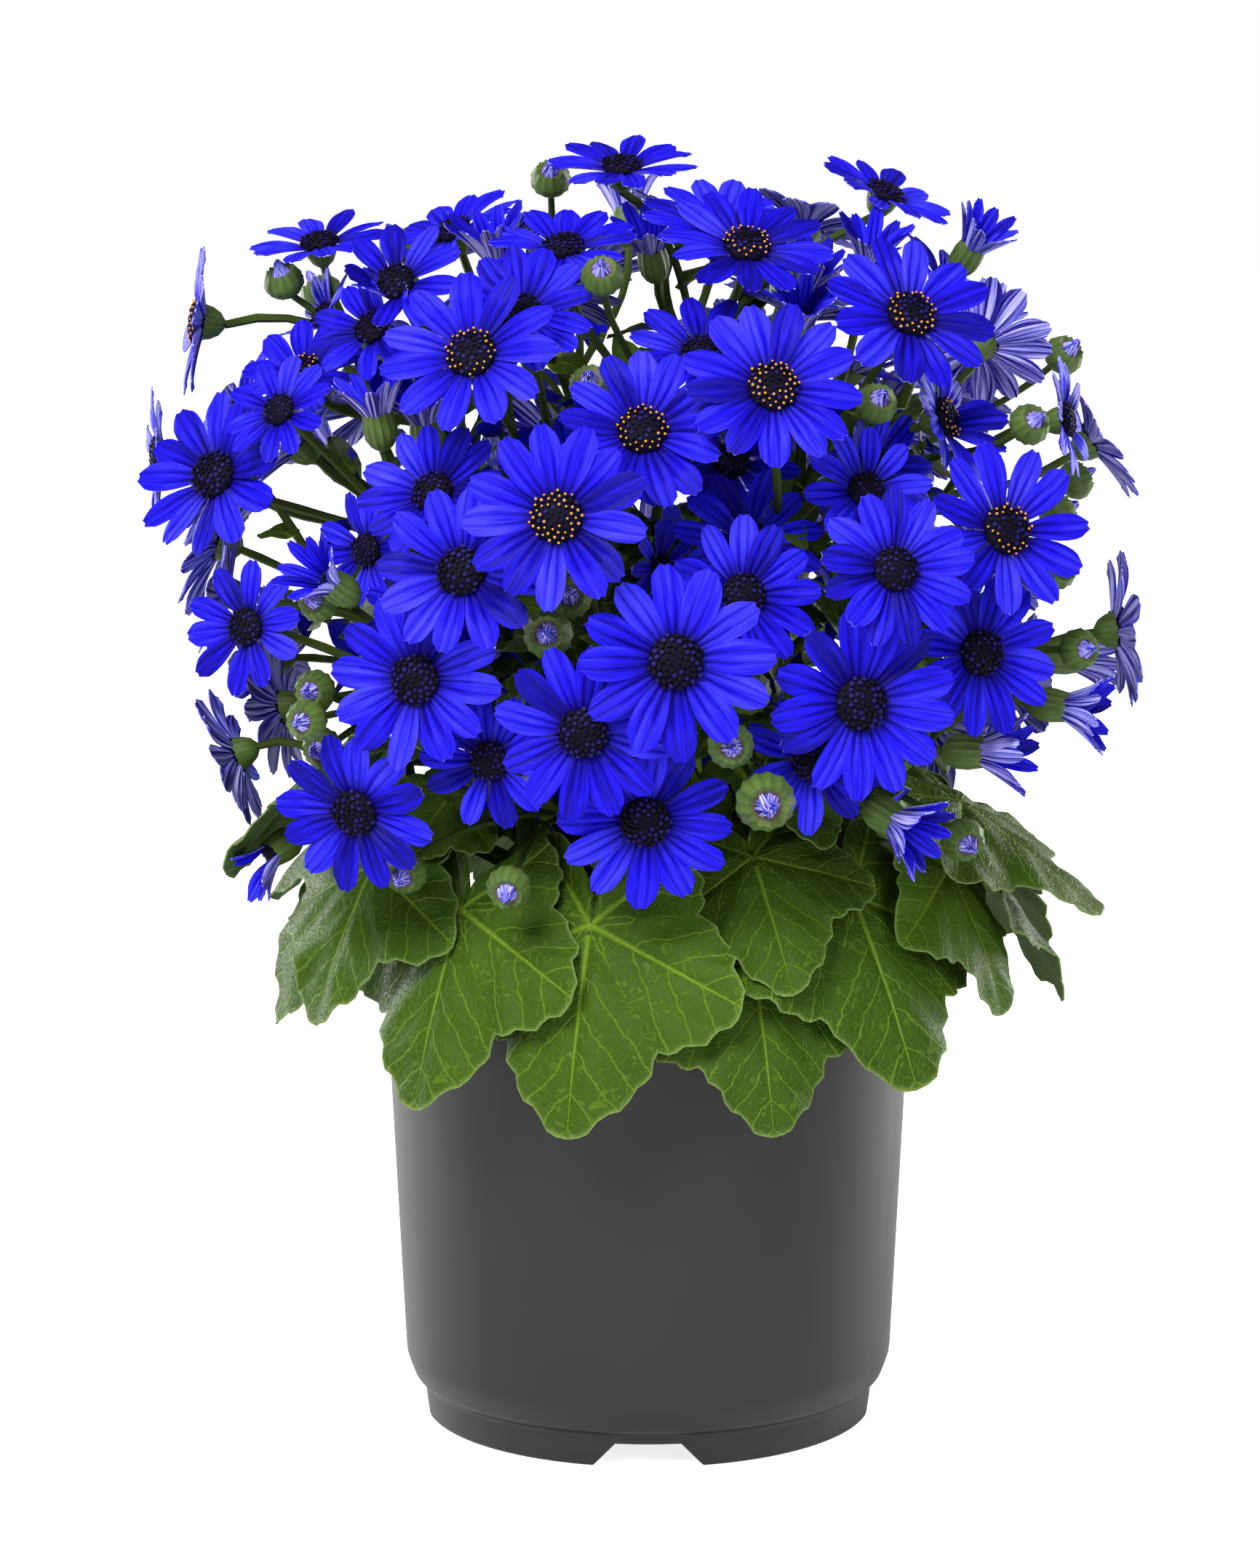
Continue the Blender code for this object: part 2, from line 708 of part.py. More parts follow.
def petal_probe(head, index, lift):
    """A slightly swollen stand-in for one petal, in world space, to test whether it is clear."""
    shape = dict(head_shape(head))
    shape["width"] += 2 * PETAL_CLEARANCE
    shape["length"] += PETAL_CLEARANCE
    turn = petal_turns(shape["count"])[index]
    outward = Vector((math.cos(turn), math.sin(turn), 0))
    root = outward * shape["disc"] * math.cos(math.pi / shape["count"])
    sideways = Vector((-outward.y, outward.x, 0))
    left, right, tip = petal_corners(root, sideways, outward, lift, shape)
    side = sideways * shape["disc"] * math.sin(math.pi / shape["count"])
    half = Vector((0, 0, ROOT_THICKNESS / 2 + PETAL_CLEARANCE))
    keel = Vector((0, 0, ROOT_THICKNESS * 0.3 + PETAL_CLEARANCE))
    top = Vector((0, 0, PETAL_CLEARANCE))
    points = [root - side - half, root + side - half, root + side + half, root - side + half]
    points += [left - keel, right - keel, right + top, left + top, tip - top, tip + top]
    faces = [(0, 1, 5, 4), (1, 2, 6, 5), (2, 3, 7, 6), (3, 0, 4, 7)]
    faces += [(4, 5, 8), (5, 6, 9, 8), (6, 7, 9), (7, 4, 8, 9)]
    matrix = Matrix.Translation(head["place"]) @ head["facing"].to_track_quat("Z", "Y").to_matrix().to_4x4()
    return [matrix @ point for point in points], faces


def bud_mesh(head):
    """A round green cup with a short pointed petal tip."""
    radius = head["diameter"] / 2
    bm = bmesh.new()
    bmesh.ops.create_cone(
        bm, cap_ends=True, segments=BUD_SIDES, radius1=radius * 0.45, radius2=radius, depth=radius * 1.1
    )
    top = max(bm.faces, key=lambda face: face.calc_center_median().z)
    tip = bmesh.ops.poke(bm, faces=[top])
    tip["verts"][0].co.z = radius * 1.45
    for face in tip["faces"]:
        face.material_index = 1
    bmesh.ops.recalc_face_normals(bm, faces=bm.faces)
    return placed(bm, head["place"], head["facing"])


class Bits:
    """What is already placed, kept so that later pieces can be tested against it."""

    def __init__(self):
        self.items = []

    def add(self, owner, bm):
        bm.verts.index_update()
        points = [vert.co.copy() for vert in bm.verts]
        faces = [[vert.index for vert in face.verts] for face in bm.faces]
        self.items.append((owner, points, faces))

    def tree_without(self, owners):
        points = []
        faces = []
        for owner, some, more in self.items:
            if owner in owners:
                continue
            base = len(points)
            points += some
            faces += [[base + index for index in face] for face in more]
        return BVHTree.FromPolygons(points, faces) if faces else None


def crosses(tree, points, faces):
    if tree is None:
        return False
    return bool(tree.overlap(BVHTree.FromPolygons(points, faces)))


def mesh_crosses(tree, bm):
    bm.verts.index_update()
    points = [vert.co for vert in bm.verts]
    faces = [[vert.index for vert in face.verts] for face in bm.faces]
    return crosses(tree, points, faces)


def spray_route(group, sideways):
    """The stem of a spray: from the main stem out to the fork, with its radii."""
    middle = sum((head["place"] for head in group), Vector()) / len(group)
    out = middle - Vector((0, 0, DOME_CENTRE_HEIGHT - 60 * MM))
    flat = Vector((out.x, out.y, 0))
    spread = math.atan2(flat.length, out.z)
    start_height = MAIN_STEM_TOP - 8 * MM - (0.074 * spread / math.pi * 1.7)
    way = flat.normalized() if flat.length > MM else Vector((1, 0, 0))
    way = Matrix.Rotation(sideways, 3, "Z") @ way
    start = way * (main_stem_radius(start_height) + 3 * TOUCH_GAP + SPRAY_STEM_RADIUS * 0.4)
    start.z = start_height
    crown = Vector((0, 0, start_height))
    fork = crown + (middle - crown) * FORK_SHARE
    leave = (way + Vector((0, 0, 0.9 * max(0.1, math.cos(spread))))).normalized()
    arrive = (middle - fork).normalized()
    return curve_through(start, leave, fork, arrive, 2)


def stalk_route(head, number, stem_points, bend):
    """The stalk of one head: from inside the spray's stem to the neck of its cup, and on into the head."""
    fork = stem_points[-1]
    stem_way = (fork - stem_points[-2]).normalized()
    depth = {"open": CUP_DEPTH, "half": HALF_CUP_DEPTH, "bud": head["diameter"] * 0.2}[head["stage"]]
    neck = head["place"] - head["facing"] * depth
    start = fork - stem_way * (1.5 + FORK_SPACING * number) * MM
    twist = Matrix.Rotation(bend[0], 3, stem_way) @ stem_way.orthogonal()
    arrive = (head["facing"] + twist * bend[1]).normalized()
    route = curve_through(start, stem_way, neck, arrive, 2)
    if head["stage"] != "bud":
        route.append(head["place"] - head["facing"] * 0.3 * MM)
    return route


def stalk_radii(head):
    """A head's stalk widens at its end into the cup behind the disc. A bud is its own cup."""
    if head["stage"] == "bud":
        return [STALK_RADIUS] * 3
    return [STALK_RADIUS] * 3 + [CUP_SHARE * head_shape(head)["disc"]]


def clear_tube(routes, radii, sides, tree):
    """The tube along the first route that is clear of the tree, or along the first route of all."""
    swollen = [radius + STEM_CLEARANCE for radius in radii]
    for route in routes:
        probe = tube_mesh(route, swollen, sides, 0)
        crossing = mesh_crosses(tree, probe)
        probe.free()
        if not crossing:
            return route, tube_mesh(route, radii, sides, 0)
    print("no clear route from", routes[0][0])
    return routes[0], tube_mesh(routes[0], radii, sides, 0)


def plan_sprays(groups, bits):
    """Places every stem, stalk, disc and bud, each bent clear of the ones before it."""
    bends = [(0.0, 0.0)] + [(i * math.tau / 6, reach) for reach in (0.5, 1.0, 1.6) for i in range(6)]
    stem_radii = [SPRAY_STEM_RADIUS * share for share in (1.0, 0.85, 0.7)]
    plans = []
    for index, group in enumerate(groups):
        name = f"spray_{index + 1:02d}"
        tree = bits.tree_without({name})
        routes = [spray_route(group, sideways) for sideways in SPRAY_SWINGS]
        points, stem = clear_tube(routes, stem_radii, SPRAY_STEM_SIDES, tree)
        bits.add(name, stem)
        plan = {"name": name, "stem": stem, "stalks": [], "heads": group}
        for number, head in enumerate(group):
            routes = [stalk_route(head, number, points, bend) for bend in bends]
            stalk = clear_tube(routes, stalk_radii(head), STALK_SIDES, tree)[1]
            plan["stalks"].append(stalk)
            bits.add(name, stalk)
            if head["stage"] == "bud":
                core = bud_mesh(head)
            else:
                core = head_mesh(head, [None] * head_shape(head)["count"])
            if mesh_crosses(tree, core):
                print("no clear place for a head of", name)
            bits.add((name, number), core)
            core.free()
        plans.append(plan)
    return plans


def lobed_outline(length):
    """A palmate outline round the blade's root: each lobe has a tip between two shoulders, then a notch."""
    points = []
    spread = math.radians(138)
    half = spread / (LOBES - 1)
    for lobe in range(LOBES):
        middle = -1 + 2 * lobe / (LOBES - 1)
        turn = middle * spread
        reach = length * (1 - 0.44 * abs(middle) ** 1.3)
        points.append((turn - half * 0.45, reach * 0.87))
        points.append((turn, reach))
        points.append((turn + half * 0.45, reach * 0.87))
        if lobe < LOBES - 1:
            points.append((turn + half, reach * 0.70))
    points.append((math.pi, length * 0.10))
    return points


def leaf_meshes(row, shift, roll, lift):
    """Blade and stalk of one leaf. The blade is a tent of facets, one along each vein."""
    turn, distance, height, length, droop, swing = row
    length *= MM
    out = toward(turn + shift, 0)
    root = out * distance * MM + Vector((0, 0, (height + lift) * MM))
    along = toward(turn + shift + swing, -droop)
    across = Vector((0, 0, 1)).cross(along).normalized()
    across = Matrix.Rotation(math.radians(roll), 3, along) @ across
    up = along.cross(across)
    bm = bmesh.new()
    rim = []
    for angle, reach in lobed_outline(length):
        ahead = math.cos(angle) * reach
        aside = math.sin(angle) * reach
        sag = 0.16 * reach * reach / length + 0.10 * abs(aside)
        rim.append(bm.verts.new(root + along * ahead + across * aside - up * sag))
    face = bm.faces.new(rim)
    fan = bmesh.ops.poke(bm, faces=[face])
    fan["verts"][0].co = root
    pushed = bmesh.ops.extrude_face_region(bm, geom=fan["faces"])["geom"]
    moved = [part for part in pushed if isinstance(part, bmesh.types.BMVert)]
    bmesh.ops.translate(bm, verts=moved, vec=-up * LEAF_THICKNESS)
    bmesh.ops.recalc_face_normals(bm, faces=bm.faces)
    bmesh.ops.triangulate(bm, faces=[part for part in bm.faces if len(part.verts) > 3])
    for part in bm.faces:
        part.material_index = 1
    start_height = SOIL_TOP + 4 * MM + 0.25 * (height * MM - SOIL_TOP)
    start = out * (main_stem_radius(start_height) + 3 * TOUCH_GAP + PETIOLE_RADIUS * 0.4)
    start.z = start_height
    end = root + along * 3 * MM - up * 1.2 * LEAF_THICKNESS
    leave = (out + Vector((0, 0, 0.6))).normalized()
    route = curve_through(start, leave, end, along, 2)
    radii = [PETIOLE_RADIUS * share for share in (1, 0.95, 0.4)]
    return bm, tube_mesh(route, radii, PETIOLE_SIDES, 0)


def fit_leaf(row, tree):
    """The leaf at the first shift, roll and lift that is clear of everything else, or None."""
    for shift in LEAF_SHIFTS:
        for lift in LEAF_LIFTS:
            for roll in LEAF_ROLLS:
                blade, petiole = leaf_meshes(row, shift, roll, lift)
                if not mesh_crosses(tree, blade) and not mesh_crosses(tree, petiole):
                    return blade, petiole
                blade.free()
                petiole.free()
    return None


def make_leaves(materials, bits):
    for index, row in enumerate(OUTER_LEAVES + INNER_LEAVES):
        name = f"leaf_{index + 1:02d}"
        tree = bits.tree_without({name})
        fitted = fit_leaf(row, tree)
        if fitted is None:
            print("no clear place for", name)
            continue
        blade, petiole = fitted
        bits.add(name, blade)
        bits.add(name, petiole)
        leaf = make_object(name, blade, materials)
        apply_boolean(leaf, "UNION", [make_object(name + "_petiole", petiole, materials)])
        smooth(leaf, 30)


def fit_petals(head, number, owner, bits):
    """For each petal, the first lift that is clear of everything else."""
    shape = head_shape(head)
    tree = bits.tree_without({(owner, number)})
    lifts = []
    for index in range(shape["count"]):
        lifts.append(None)
        for change in LIFT_CHOICES:
            lift = shape["lift"] + math.radians(change)
            if head["stage"] == "half":
                lift = min(lift, math.radians(84))
            points, faces = petal_probe(head, index, lift)
            if not crosses(tree, points, faces):
                lifts[-1] = lift
                break
    return lifts


def make_sprays(plans, materials, bits):
    for plan in plans:
        solids = []
        for number, (head, stalk) in enumerate(zip(plan["heads"], plan["stalks"])):
            if head["stage"] == "bud":
                body = bud_mesh(head)
            else:
                body = head_mesh(head, fit_petals(head, number, plan["name"], bits))
                bits.add((plan["name"], number), body)
            label = f"{plan['name']}_{number}"
            solids.append(make_object(label + "_head", body, materials))
            solids.append(make_object(label + "_stalk", stalk, materials))
        spray = make_object(plan["name"], plan["stem"], materials)
        apply_boolean(spray, "UNION", solids)
        smooth(spray, 35)


def main():
    clear_scene()
    plastic = make_material("pot_plastic", (0.050, 0.051, 0.054), 0.45)
    mix = make_material("potting_mix", (0.030, 0.020, 0.013), 0.95)
    green = make_material("stem_green", (0.070, 0.130, 0.030), 0.6)
    blade = make_material("leaf_green", (0.070, 0.150, 0.035), 0.55)
    blue = make_material("petal_blue", (0.030, 0.012, 0.750), 0.5)
    dark = make_material("disc_navy", (0.006, 0.003, 0.050), 0.7)
    make_pot(plastic)
    make_soil(mix)
    bits = Bits()
    pot_mesh = bmesh.new()
    pot_mesh.from_mesh(bpy.data.objects["pot"].data)
    bits.add("pot", pot_mesh)
    pot_mesh.free()
    stem = make_main_stem(green)
    smooth(stem)
    heads = settle(front_heads() + back_heads())
    groups = group_sprays(heads)
    plans = plan_sprays(groups, bits)
    make_leaves([green, blade], bits)
    make_sprays(plans, [green, blue, dark], bits)


main()
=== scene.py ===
"""Dresses a florist cineraria in its pot: petals, discs, cups, hairy stalks, leaves, soil and pot.

Metres, +Z up, the front faces -Y. The layout repeats the solids' own layout, and the way each stalk,
leaf and petal was bent is read back from the solids themselves.
"""

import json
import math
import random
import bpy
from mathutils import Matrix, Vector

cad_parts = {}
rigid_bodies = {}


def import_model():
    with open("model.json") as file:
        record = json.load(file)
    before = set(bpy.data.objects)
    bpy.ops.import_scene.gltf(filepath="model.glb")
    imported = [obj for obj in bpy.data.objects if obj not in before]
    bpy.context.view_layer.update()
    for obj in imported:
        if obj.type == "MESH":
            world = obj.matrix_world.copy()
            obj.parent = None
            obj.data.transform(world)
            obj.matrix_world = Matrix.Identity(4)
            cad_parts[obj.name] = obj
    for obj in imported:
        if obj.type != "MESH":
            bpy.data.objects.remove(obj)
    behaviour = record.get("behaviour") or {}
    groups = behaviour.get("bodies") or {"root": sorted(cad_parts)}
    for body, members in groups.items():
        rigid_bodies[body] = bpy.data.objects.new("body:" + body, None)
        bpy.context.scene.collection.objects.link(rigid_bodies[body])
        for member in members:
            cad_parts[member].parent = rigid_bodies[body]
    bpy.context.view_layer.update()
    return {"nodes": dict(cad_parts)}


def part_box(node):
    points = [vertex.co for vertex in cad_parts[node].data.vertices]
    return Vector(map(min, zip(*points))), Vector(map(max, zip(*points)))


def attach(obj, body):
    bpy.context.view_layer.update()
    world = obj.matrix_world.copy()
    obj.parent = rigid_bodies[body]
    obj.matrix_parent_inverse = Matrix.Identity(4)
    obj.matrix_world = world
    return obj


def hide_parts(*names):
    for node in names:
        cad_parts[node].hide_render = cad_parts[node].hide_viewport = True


bl_info = {
    "name": "Florist Cineraria",
    "version": (1, 0, 0),
    "blender": (4, 5, 0),
    "location": "3D View > Sidebar > Cineraria",
    "description": "Builds a potted florist cineraria with its studio stage",
    "category": "Object",
}

import bmesh
import bpy
from bpy.props import FloatProperty, FloatVectorProperty, IntProperty, PointerProperty
from mathutils import Matrix, Vector, noise
from mathutils.bvhtree import BVHTree

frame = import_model()

MM = 0.001
BODY = "root"
SEED = 11

# Pot and soil.
POT_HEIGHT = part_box("pot")[1][2]
POT_RIM_RADIUS = 84.3 * MM
POT_BAND_HEIGHT = 11 * MM
POT_WALL = 1.9 * MM
POT_BODY_TOP_RADIUS = 82.4 * MM
POT_BODY_LOW_RADIUS = 76.0 * MM
POT_BODY_LOW = 19 * MM
FOOT_RADIUS = 70.0 * MM
FOOT_WIDTH = 3.2 * MM
FOOT_HEIGHT = 10 * MM
FLOOR_THICKNESS = 2.2 * MM
NOTCH_COUNT = 4
NOTCH_TOP = 20 * MM
NOTCH_BOTTOM = 34 * MM
NOTCH_HEIGHT = 7.5 * MM
DRAIN_COUNT = 4
DRAIN_RADIUS = 5 * MM
DRAIN_RING_RADIUS = 52 * MM
SOIL_TOP = 137 * MM
STEM_HOLE_DEPTH = 14 * MM
MAIN_STEM_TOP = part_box("main_stem")[1][2]
MAIN_STEM_LOW_RADIUS = 8.5 * MM
MAIN_STEM_TOP_RADIUS = 4.5 * MM
TOUCH_GAP = 0.3 * MM

# The dome that the heads lie on, and the eye that sees them.
DOME_CENTRE_HEIGHT = 258 * MM
DOME_RADIUS = 148 * MM
DOME_RISE = 131 * MM
DOME_DROP = 112 * MM
FRONT_PULL = 0.8
EYE = Vector((0, -1500 * MM, 445 * MM))
AIM_HEIGHT = 198 * MM
SIGHT_PIXELS = 6749
PHOTO_WIDTH = 1732
PHOTO_HEIGHT = 2156
AXIS_PIXEL = 891

# Heads and sprays, as the solids have them.
DISC_SHARE = 0.155
HALF_DISC_SHARE = 0.13
OPEN_PETALS = 7
SMALL_PETALS = 6
SMALL_DIAMETER = 44.5 * MM
HALF_PETALS = 5
OPEN_LIFT = math.radians(13)
HALF_LIFT = math.radians(63)
STEEPEST_LIFT = math.radians(84)
ON_SOLID = 0.3 * MM
HOLE_TURN = 0.85
BLEND_TURN = 1.3
CUP_DEPTH = 8 * MM
HALF_CUP_DEPTH = 12 * MM
STALK_RADIUS = 1.25 * MM
SPRAY_STEM_RADIUS = 2.1 * MM
HEAD_CLEARANCE = 7.5 * MM
SINK_STEP = 4 * MM
MOST_SINK = 60 * MM
BROADEST = 0.62
LIFT_CHOICES = (0, 8, -8, 17, -16, 27, -25, 38, 50, 62, 74, -38)
SPRAY_COUNT = 30
GOLDEN_ANGLE = math.radians(137.507764)
SPRAY_LOWEST = -0.55
FORK_SHARE = 0.62
FORK_SPACING = 2.6
SPRAY_SWINGS = (0, 0.35, -0.35, 0.7, -0.7, 1.05, -1.05, 1.4, -1.4)
LEAF_THICKNESS = 0.8 * MM
LOBE_STEP = math.radians(69)

# The heads that the photo shows: across, height above the table and diameter in mm. Some also have their
# own turn from the front to the right and their own tilt, in degrees. The rest face as seen_facing says.
OPEN_HEADS = (
    (-54, 331, 53), (-133, 294, 53), (-28, 281, 54, -8, 14), (80, 343, 53), (38, 321, 53),
    (110, 277, 53), (76, 265, 47), (9, 235, 57), (70, 222, 56), (109, 238, 49), (37, 258, 46),
    (-61, 265, 51), (-22, 212, 52), (-91, 189, 50), (-79, 229, 53), (-1, 184, 53),
    (45, 286, 46, 10, 30), (-2, 314, 51), (-77, 296, 45, -20, 30), (-115, 333, 45, -35, 45),
    (78, 297, 40), (-124, 247, 41), (-31, 318, 44, -15, 55), (-137, 341, 48, -82, 8),
    (-77, 353, 44), (58, 203, 44), (-86, 249, 40, -25, 10), (-58, 202, 42), (105, 323, 46, 70, 20),
    (-41, 350, 46), (30, 364, 50, 10, 55), (19, 347, 46, 0, 50), (-100, 365, 44, -30, 72),
    (-10, 341, 46), (23, 378, 48, 15, 62), (-28, 375, 46, -10, 66), (-8, 388, 46, 0, 74),
    (-66, 383, 46, -55, 60), (-41, 392, 48, 170, 58), (14, 390, 44, 120, 62), (72, 380, 44, 60, 62),
    (42, 342, 42, 5, 25), (-118, 364, 34, -75, 35), (-132, 319, 44, -72, 36),
    (-150, 300, 42, -80, 0), (-113, 314, 36), (-112, 277, 36, -35, 5), (98, 363, 38, 70, 45),
    (110, 343, 46, 165, 25), (92, 316, 44, 40, 20), (128, 311, 38, 75, 10), (7, 278, 30, 50, -5),
    (8, 351, 44, -25, 45), (-89, 345, 40),
)
HALF_HEADS = (
    (-51, 376, 36, -30, 66), (-43, 361, 34, -10, 60), (-96, 325, 34, -25, 70),
    (-90, 335, 34, -15, 60), (73, 370, 34, 20, 62), (99, 364, 32, 45, 50), (109, 352, 32, 55, 40),
    (54, 366, 34, 25, 65), (52, 354, 32, 10, 55), (1, 387, 32, -20, 60), (-45, 199, 34, -75, 5),
    (110, 207, 36, 75, 0), (77, 186, 36, 50, -20), (129, 222, 34, 70, -5), (97, 293, 32, 35, 40),
    (-98, 261, 32, -45, 30), (-117, 176, 34, -50, -25),
)
BUDS = (
    (36, 193, 18), (-116, 358, 13, -30, 60), (-31, 391, 13, 0, 50), (-21, 338, 13), (-14, 354, 13),
    (-4, 339, 13), (-79, 288, 13), (-50, 298, 14), (78, 325, 13), (116, 309, 13), (126, 330, 13),
    (-37, 242, 15), (-84, 210, 13), (-112, 226, 13), (-105, 218, 13), (-75, 171, 14),
    (-107, 255, 13), (-110, 208, 13), (-43, 166, 14), (-32, 257, 13), (27, 209, 14), (40, 222, 14),
    (97, 181, 14), (132, 240, 13), (125, 265, 13),
)
FRONT_HEADS = (("open", OPEN_HEADS), ("half", HALF_HEADS), ("bud", BUDS))

# The front heads whose discs carry pollen, by where they are. The first two carry the most.
POLLEN_HEADS = (
    (-28, 281), (38, 321), (-54, 331), (-115, 333), (-2, 314), (80, 343), (110, 277),
    (-137, 341), (105, 323), (30, 364),
)
HEAVY_HEADS = POLLEN_HEADS[:2]
HEAVY_POLLEN = 0.60
LIGHT_POLLEN = 0.38

# The back carries the same mix, dealt out in this order along a spiral.
BACK_STAGES = ("open", "open", "half", "open", "open", "bud", "open", "open", "open", "bud")
BACK_DIAMETERS = (52, 46, 34, 50, 44, 13, 53, 47, 51, 14)
BACK_COUNT = 52
BACK_FLATTENING = 0.955
BACK_HIGHEST = 0.93
BACK_SPAN = 1.42

# Leaves: turn from the front to the right in degrees, distance and height of the blade's root in mm,
# blade length in mm, the blade's droop and the swing of its tip to the right, in degrees.
OUTER_LEAVES = (
    (-10, 97, 172, 62, 66, -14),
    (38, 98, 177, 60, 52, 0),
    (18, 100, 160, 50, 60, 0),
    (-30, 94, 166, 60, 62, -8),
    (72, 100, 198, 54, 28, 0),
    (-57, 98, 182, 50, 52, 8),
    (60, 104, 174, 46, 56, 6),
    (-76, 98, 188, 48, 34, 0),
    (20, 90, 190, 44, 42, 0),
    (82, 106, 174, 46, 50, 4),
    (-98, 96, 172, 58, 56, 0),
    (106, 96, 186, 60, 44, 0),
    (131, 98, 170, 60, 58, 6),
    (152, 94, 184, 58, 46, 0),
    (176, 98, 170, 62, 60, -6),
    (201, 95, 186, 58, 44, 0),
    (226, 98, 171, 60, 58, 6),
    (246, 96, 188, 56, 42, 0),
)
INNER_LEAVES = (
    (31, 82, 204, 26, 30, 0),
    (-44, 84, 198, 26, 34, 0),
    (-110, 62, 218, 34, 22, 0),
    (100, 62, 222, 34, 20, 0),
    (160, 62, 214, 34, 22, 0),
    (215, 62, 220, 34, 20, 0),
)
LEAF_SHIFTS = (0, 6, -6, 12, -12)
LEAF_ROLLS = (0, 14, -14, 26, -26)
LEAF_LIFTS = (0, 7, -6, 14, 22)


# The fine pieces: steps along stems and stalks, hairs on each, and where small leaves grow on a stem.
STEM_STEPS = 12
STALK_STEPS = 9
STEM_HAIRS = 40
STALK_HAIRS = 26
LEAF_STALK_HAIRS = 60
MAIN_STEM_STEPS = 30
MAIN_STEM_HAIRS = 220
HAIR_ROOT = 0.07 * MM
HAIR_TIP = 0.02 * MM
SMALL_LEAF_PLACES = (0.28, 0.40, 0.52, 0.64, 0.76, 0.88, 0.98)
CUP_RIBS = 13
BUD_PETALS = 9
BUD_LIFT = math.radians(123)
LOBE_LOSS = 0.44
TOOTH_HEIGHT = 0.046
LOBE_NOTCH = 0.27
LEAF_SWEEP = math.radians(356)
STALK_NOTCH = math.radians(150)
MERGE = 0.01 * MM
SOIL_RINGS = 22
SOIL_SIDES = 96


def colour_setting(name, description, default):
    """A colour that the user can change."""
    return FloatVectorProperty(
        name=name, description=description, default=default, size=3, subtype="COLOR"
    )


def length_setting(name, description, default):
    """A length that the user can change."""
    return FloatProperty(name=name, description=description, default=default, unit="LENGTH")


def power_setting(name, description, default):
    """A light's power that the user can change."""
    return FloatProperty(name=name, description=description, default=default, unit="POWER")


class PotSettings(bpy.types.PropertyGroup):
    """Sizes and colours of the pot and what fills it."""

    sides: IntProperty(name="Sides", description="Steps round the pot", default=112, min=24)
    edge: length_setting("Edge", "Rounding of the pot's edges", 0.7 * MM)
    plastic: colour_setting("Plastic", "Colour of the moulded plastic", (0.0105, 0.0107, 0.0112))
    soil: colour_setting("Soil", "Colour of the potting mix", (0.028, 0.017, 0.010))
    crumbs: IntProperty(name="Crumbs", description="Loose crumbs on the soil", default=420, min=0)


class FlowerSettings(bpy.types.PropertyGroup):
    """Counts, sizes and colours of the flower heads."""

    petals: IntProperty(name="Petals", description="Petals on a large open head", default=12, min=5)
    half_petals: IntProperty(
        name="Half-open petals",
        description="Petals on a half-open head",
        default=10,
        min=5,
    )
    petal_share: FloatProperty(
        name="Petal width",
        description="Width of a petal over the head's diameter",
        default=0.168,
    )
    petal_thickness: length_setting("Petal thickness", "Thickness of a petal", 0.35 * MM)
    florets: IntProperty(name="Florets", description="Florets on a large disc", default=64, min=8)
    bright: colour_setting("Bright blue", "Lit colour of a petal", (0.010, 0.005, 0.70))
    # Deep blue also serves as the painted shade in a petal's two grooves.
    deep: colour_setting("Deep blue", "Streak colour of a petal", (0.004, 0.0015, 0.19))
    back: colour_setting("Petal back", "Colour of a petal's back", (0.14, 0.13, 0.60))
    pollen: colour_setting("Pollen", "Colour of the pollen", (0.95, 0.40, 0.012))
    cup: colour_setting("Cup", "Colour of the green cups", (0.036, 0.063, 0.006))


class LeafSettings(bpy.types.PropertyGroup):
    """Fineness and colours of the leaves and stems."""

    spokes: IntProperty(name="Spokes", description="Steps round a leaf's outline", default=110, min=24)
    rings: IntProperty(
        name="Rings", description="Steps from a leaf's root to its edge", default=14, min=4
    )
    thickness: length_setting("Thickness", "Thickness of a blade", 0.5 * MM)
    green: colour_setting("Leaf green", "Colour between the veins", (0.024, 0.062, 0.0012))
    grey: colour_setting("Grey-green", "Colour of the paler leaves", (0.054, 0.108, 0.004))
    vein: colour_setting("Vein", "Colour of the veins", (0.19, 0.32, 0.020))
    stem: colour_setting("Stem", "Colour of the stems", (0.032, 0.055, 0.007))


class StageSettings(bpy.types.PropertyGroup):
    """Floor, light and camera."""

    floor: colour_setting("Floor", "Colour of the floor", (0.90, 0.90, 0.90))
    lift: FloatProperty(name="Lift", description="Glow that whitens the floor", default=0.82)
    sky: FloatProperty(name="Sky", description="Strength of the even light", default=0.25)
    key: power_setting("Key", "Power of the key light", 41.0)
    fill: power_setting("Fill", "Power of the fill light", 8.0)
    side: power_setting("Side", "Power of each side light", 9.0)


def toward(turn, tilt):
    """The unit vector at this turn from the front to the right, raised by this tilt, in degrees."""
    turn = math.radians(turn)
    tilt = math.radians(tilt)
    return Vector((math.sin(turn) * math.cos(tilt), -math.cos(turn) * math.cos(tilt), math.sin(tilt)))


def dome_half_height(up):
    """The dome is taller above its middle than below it."""
    return DOME_RISE if up > 0 else DOME_DROP


def dome_normal(point):
    """The way out of the dome at this point."""
    up = point.z - DOME_CENTRE_HEIGHT
    return Vector(
        (point.x / DOME_RADIUS**2, point.y / DOME_RADIUS**2, up / dome_half_height(up) ** 2)
    ).normalized()


def dome_point_seen(across, height):
    """Where the sight line through this point of the upright middle plane first meets the dome."""
    aim = Vector((across, 0, height))
    sight = (aim - EYE).normalized()
    half = dome_half_height(height - DOME_CENTRE_HEIGHT)
    squash = Vector((1 / DOME_RADIUS, 1 / DOME_RADIUS, 1 / half))
    start = (EYE - Vector((0, 0, DOME_CENTRE_HEIGHT))) * squash
    step = sight * squash
    a = step.dot(step)
    b = start.dot(step)
    rest = b * b - a * (start.dot(start) - 1)
    reach = (-b - math.sqrt(max(rest, 0))) / a
    return EYE + sight * reach


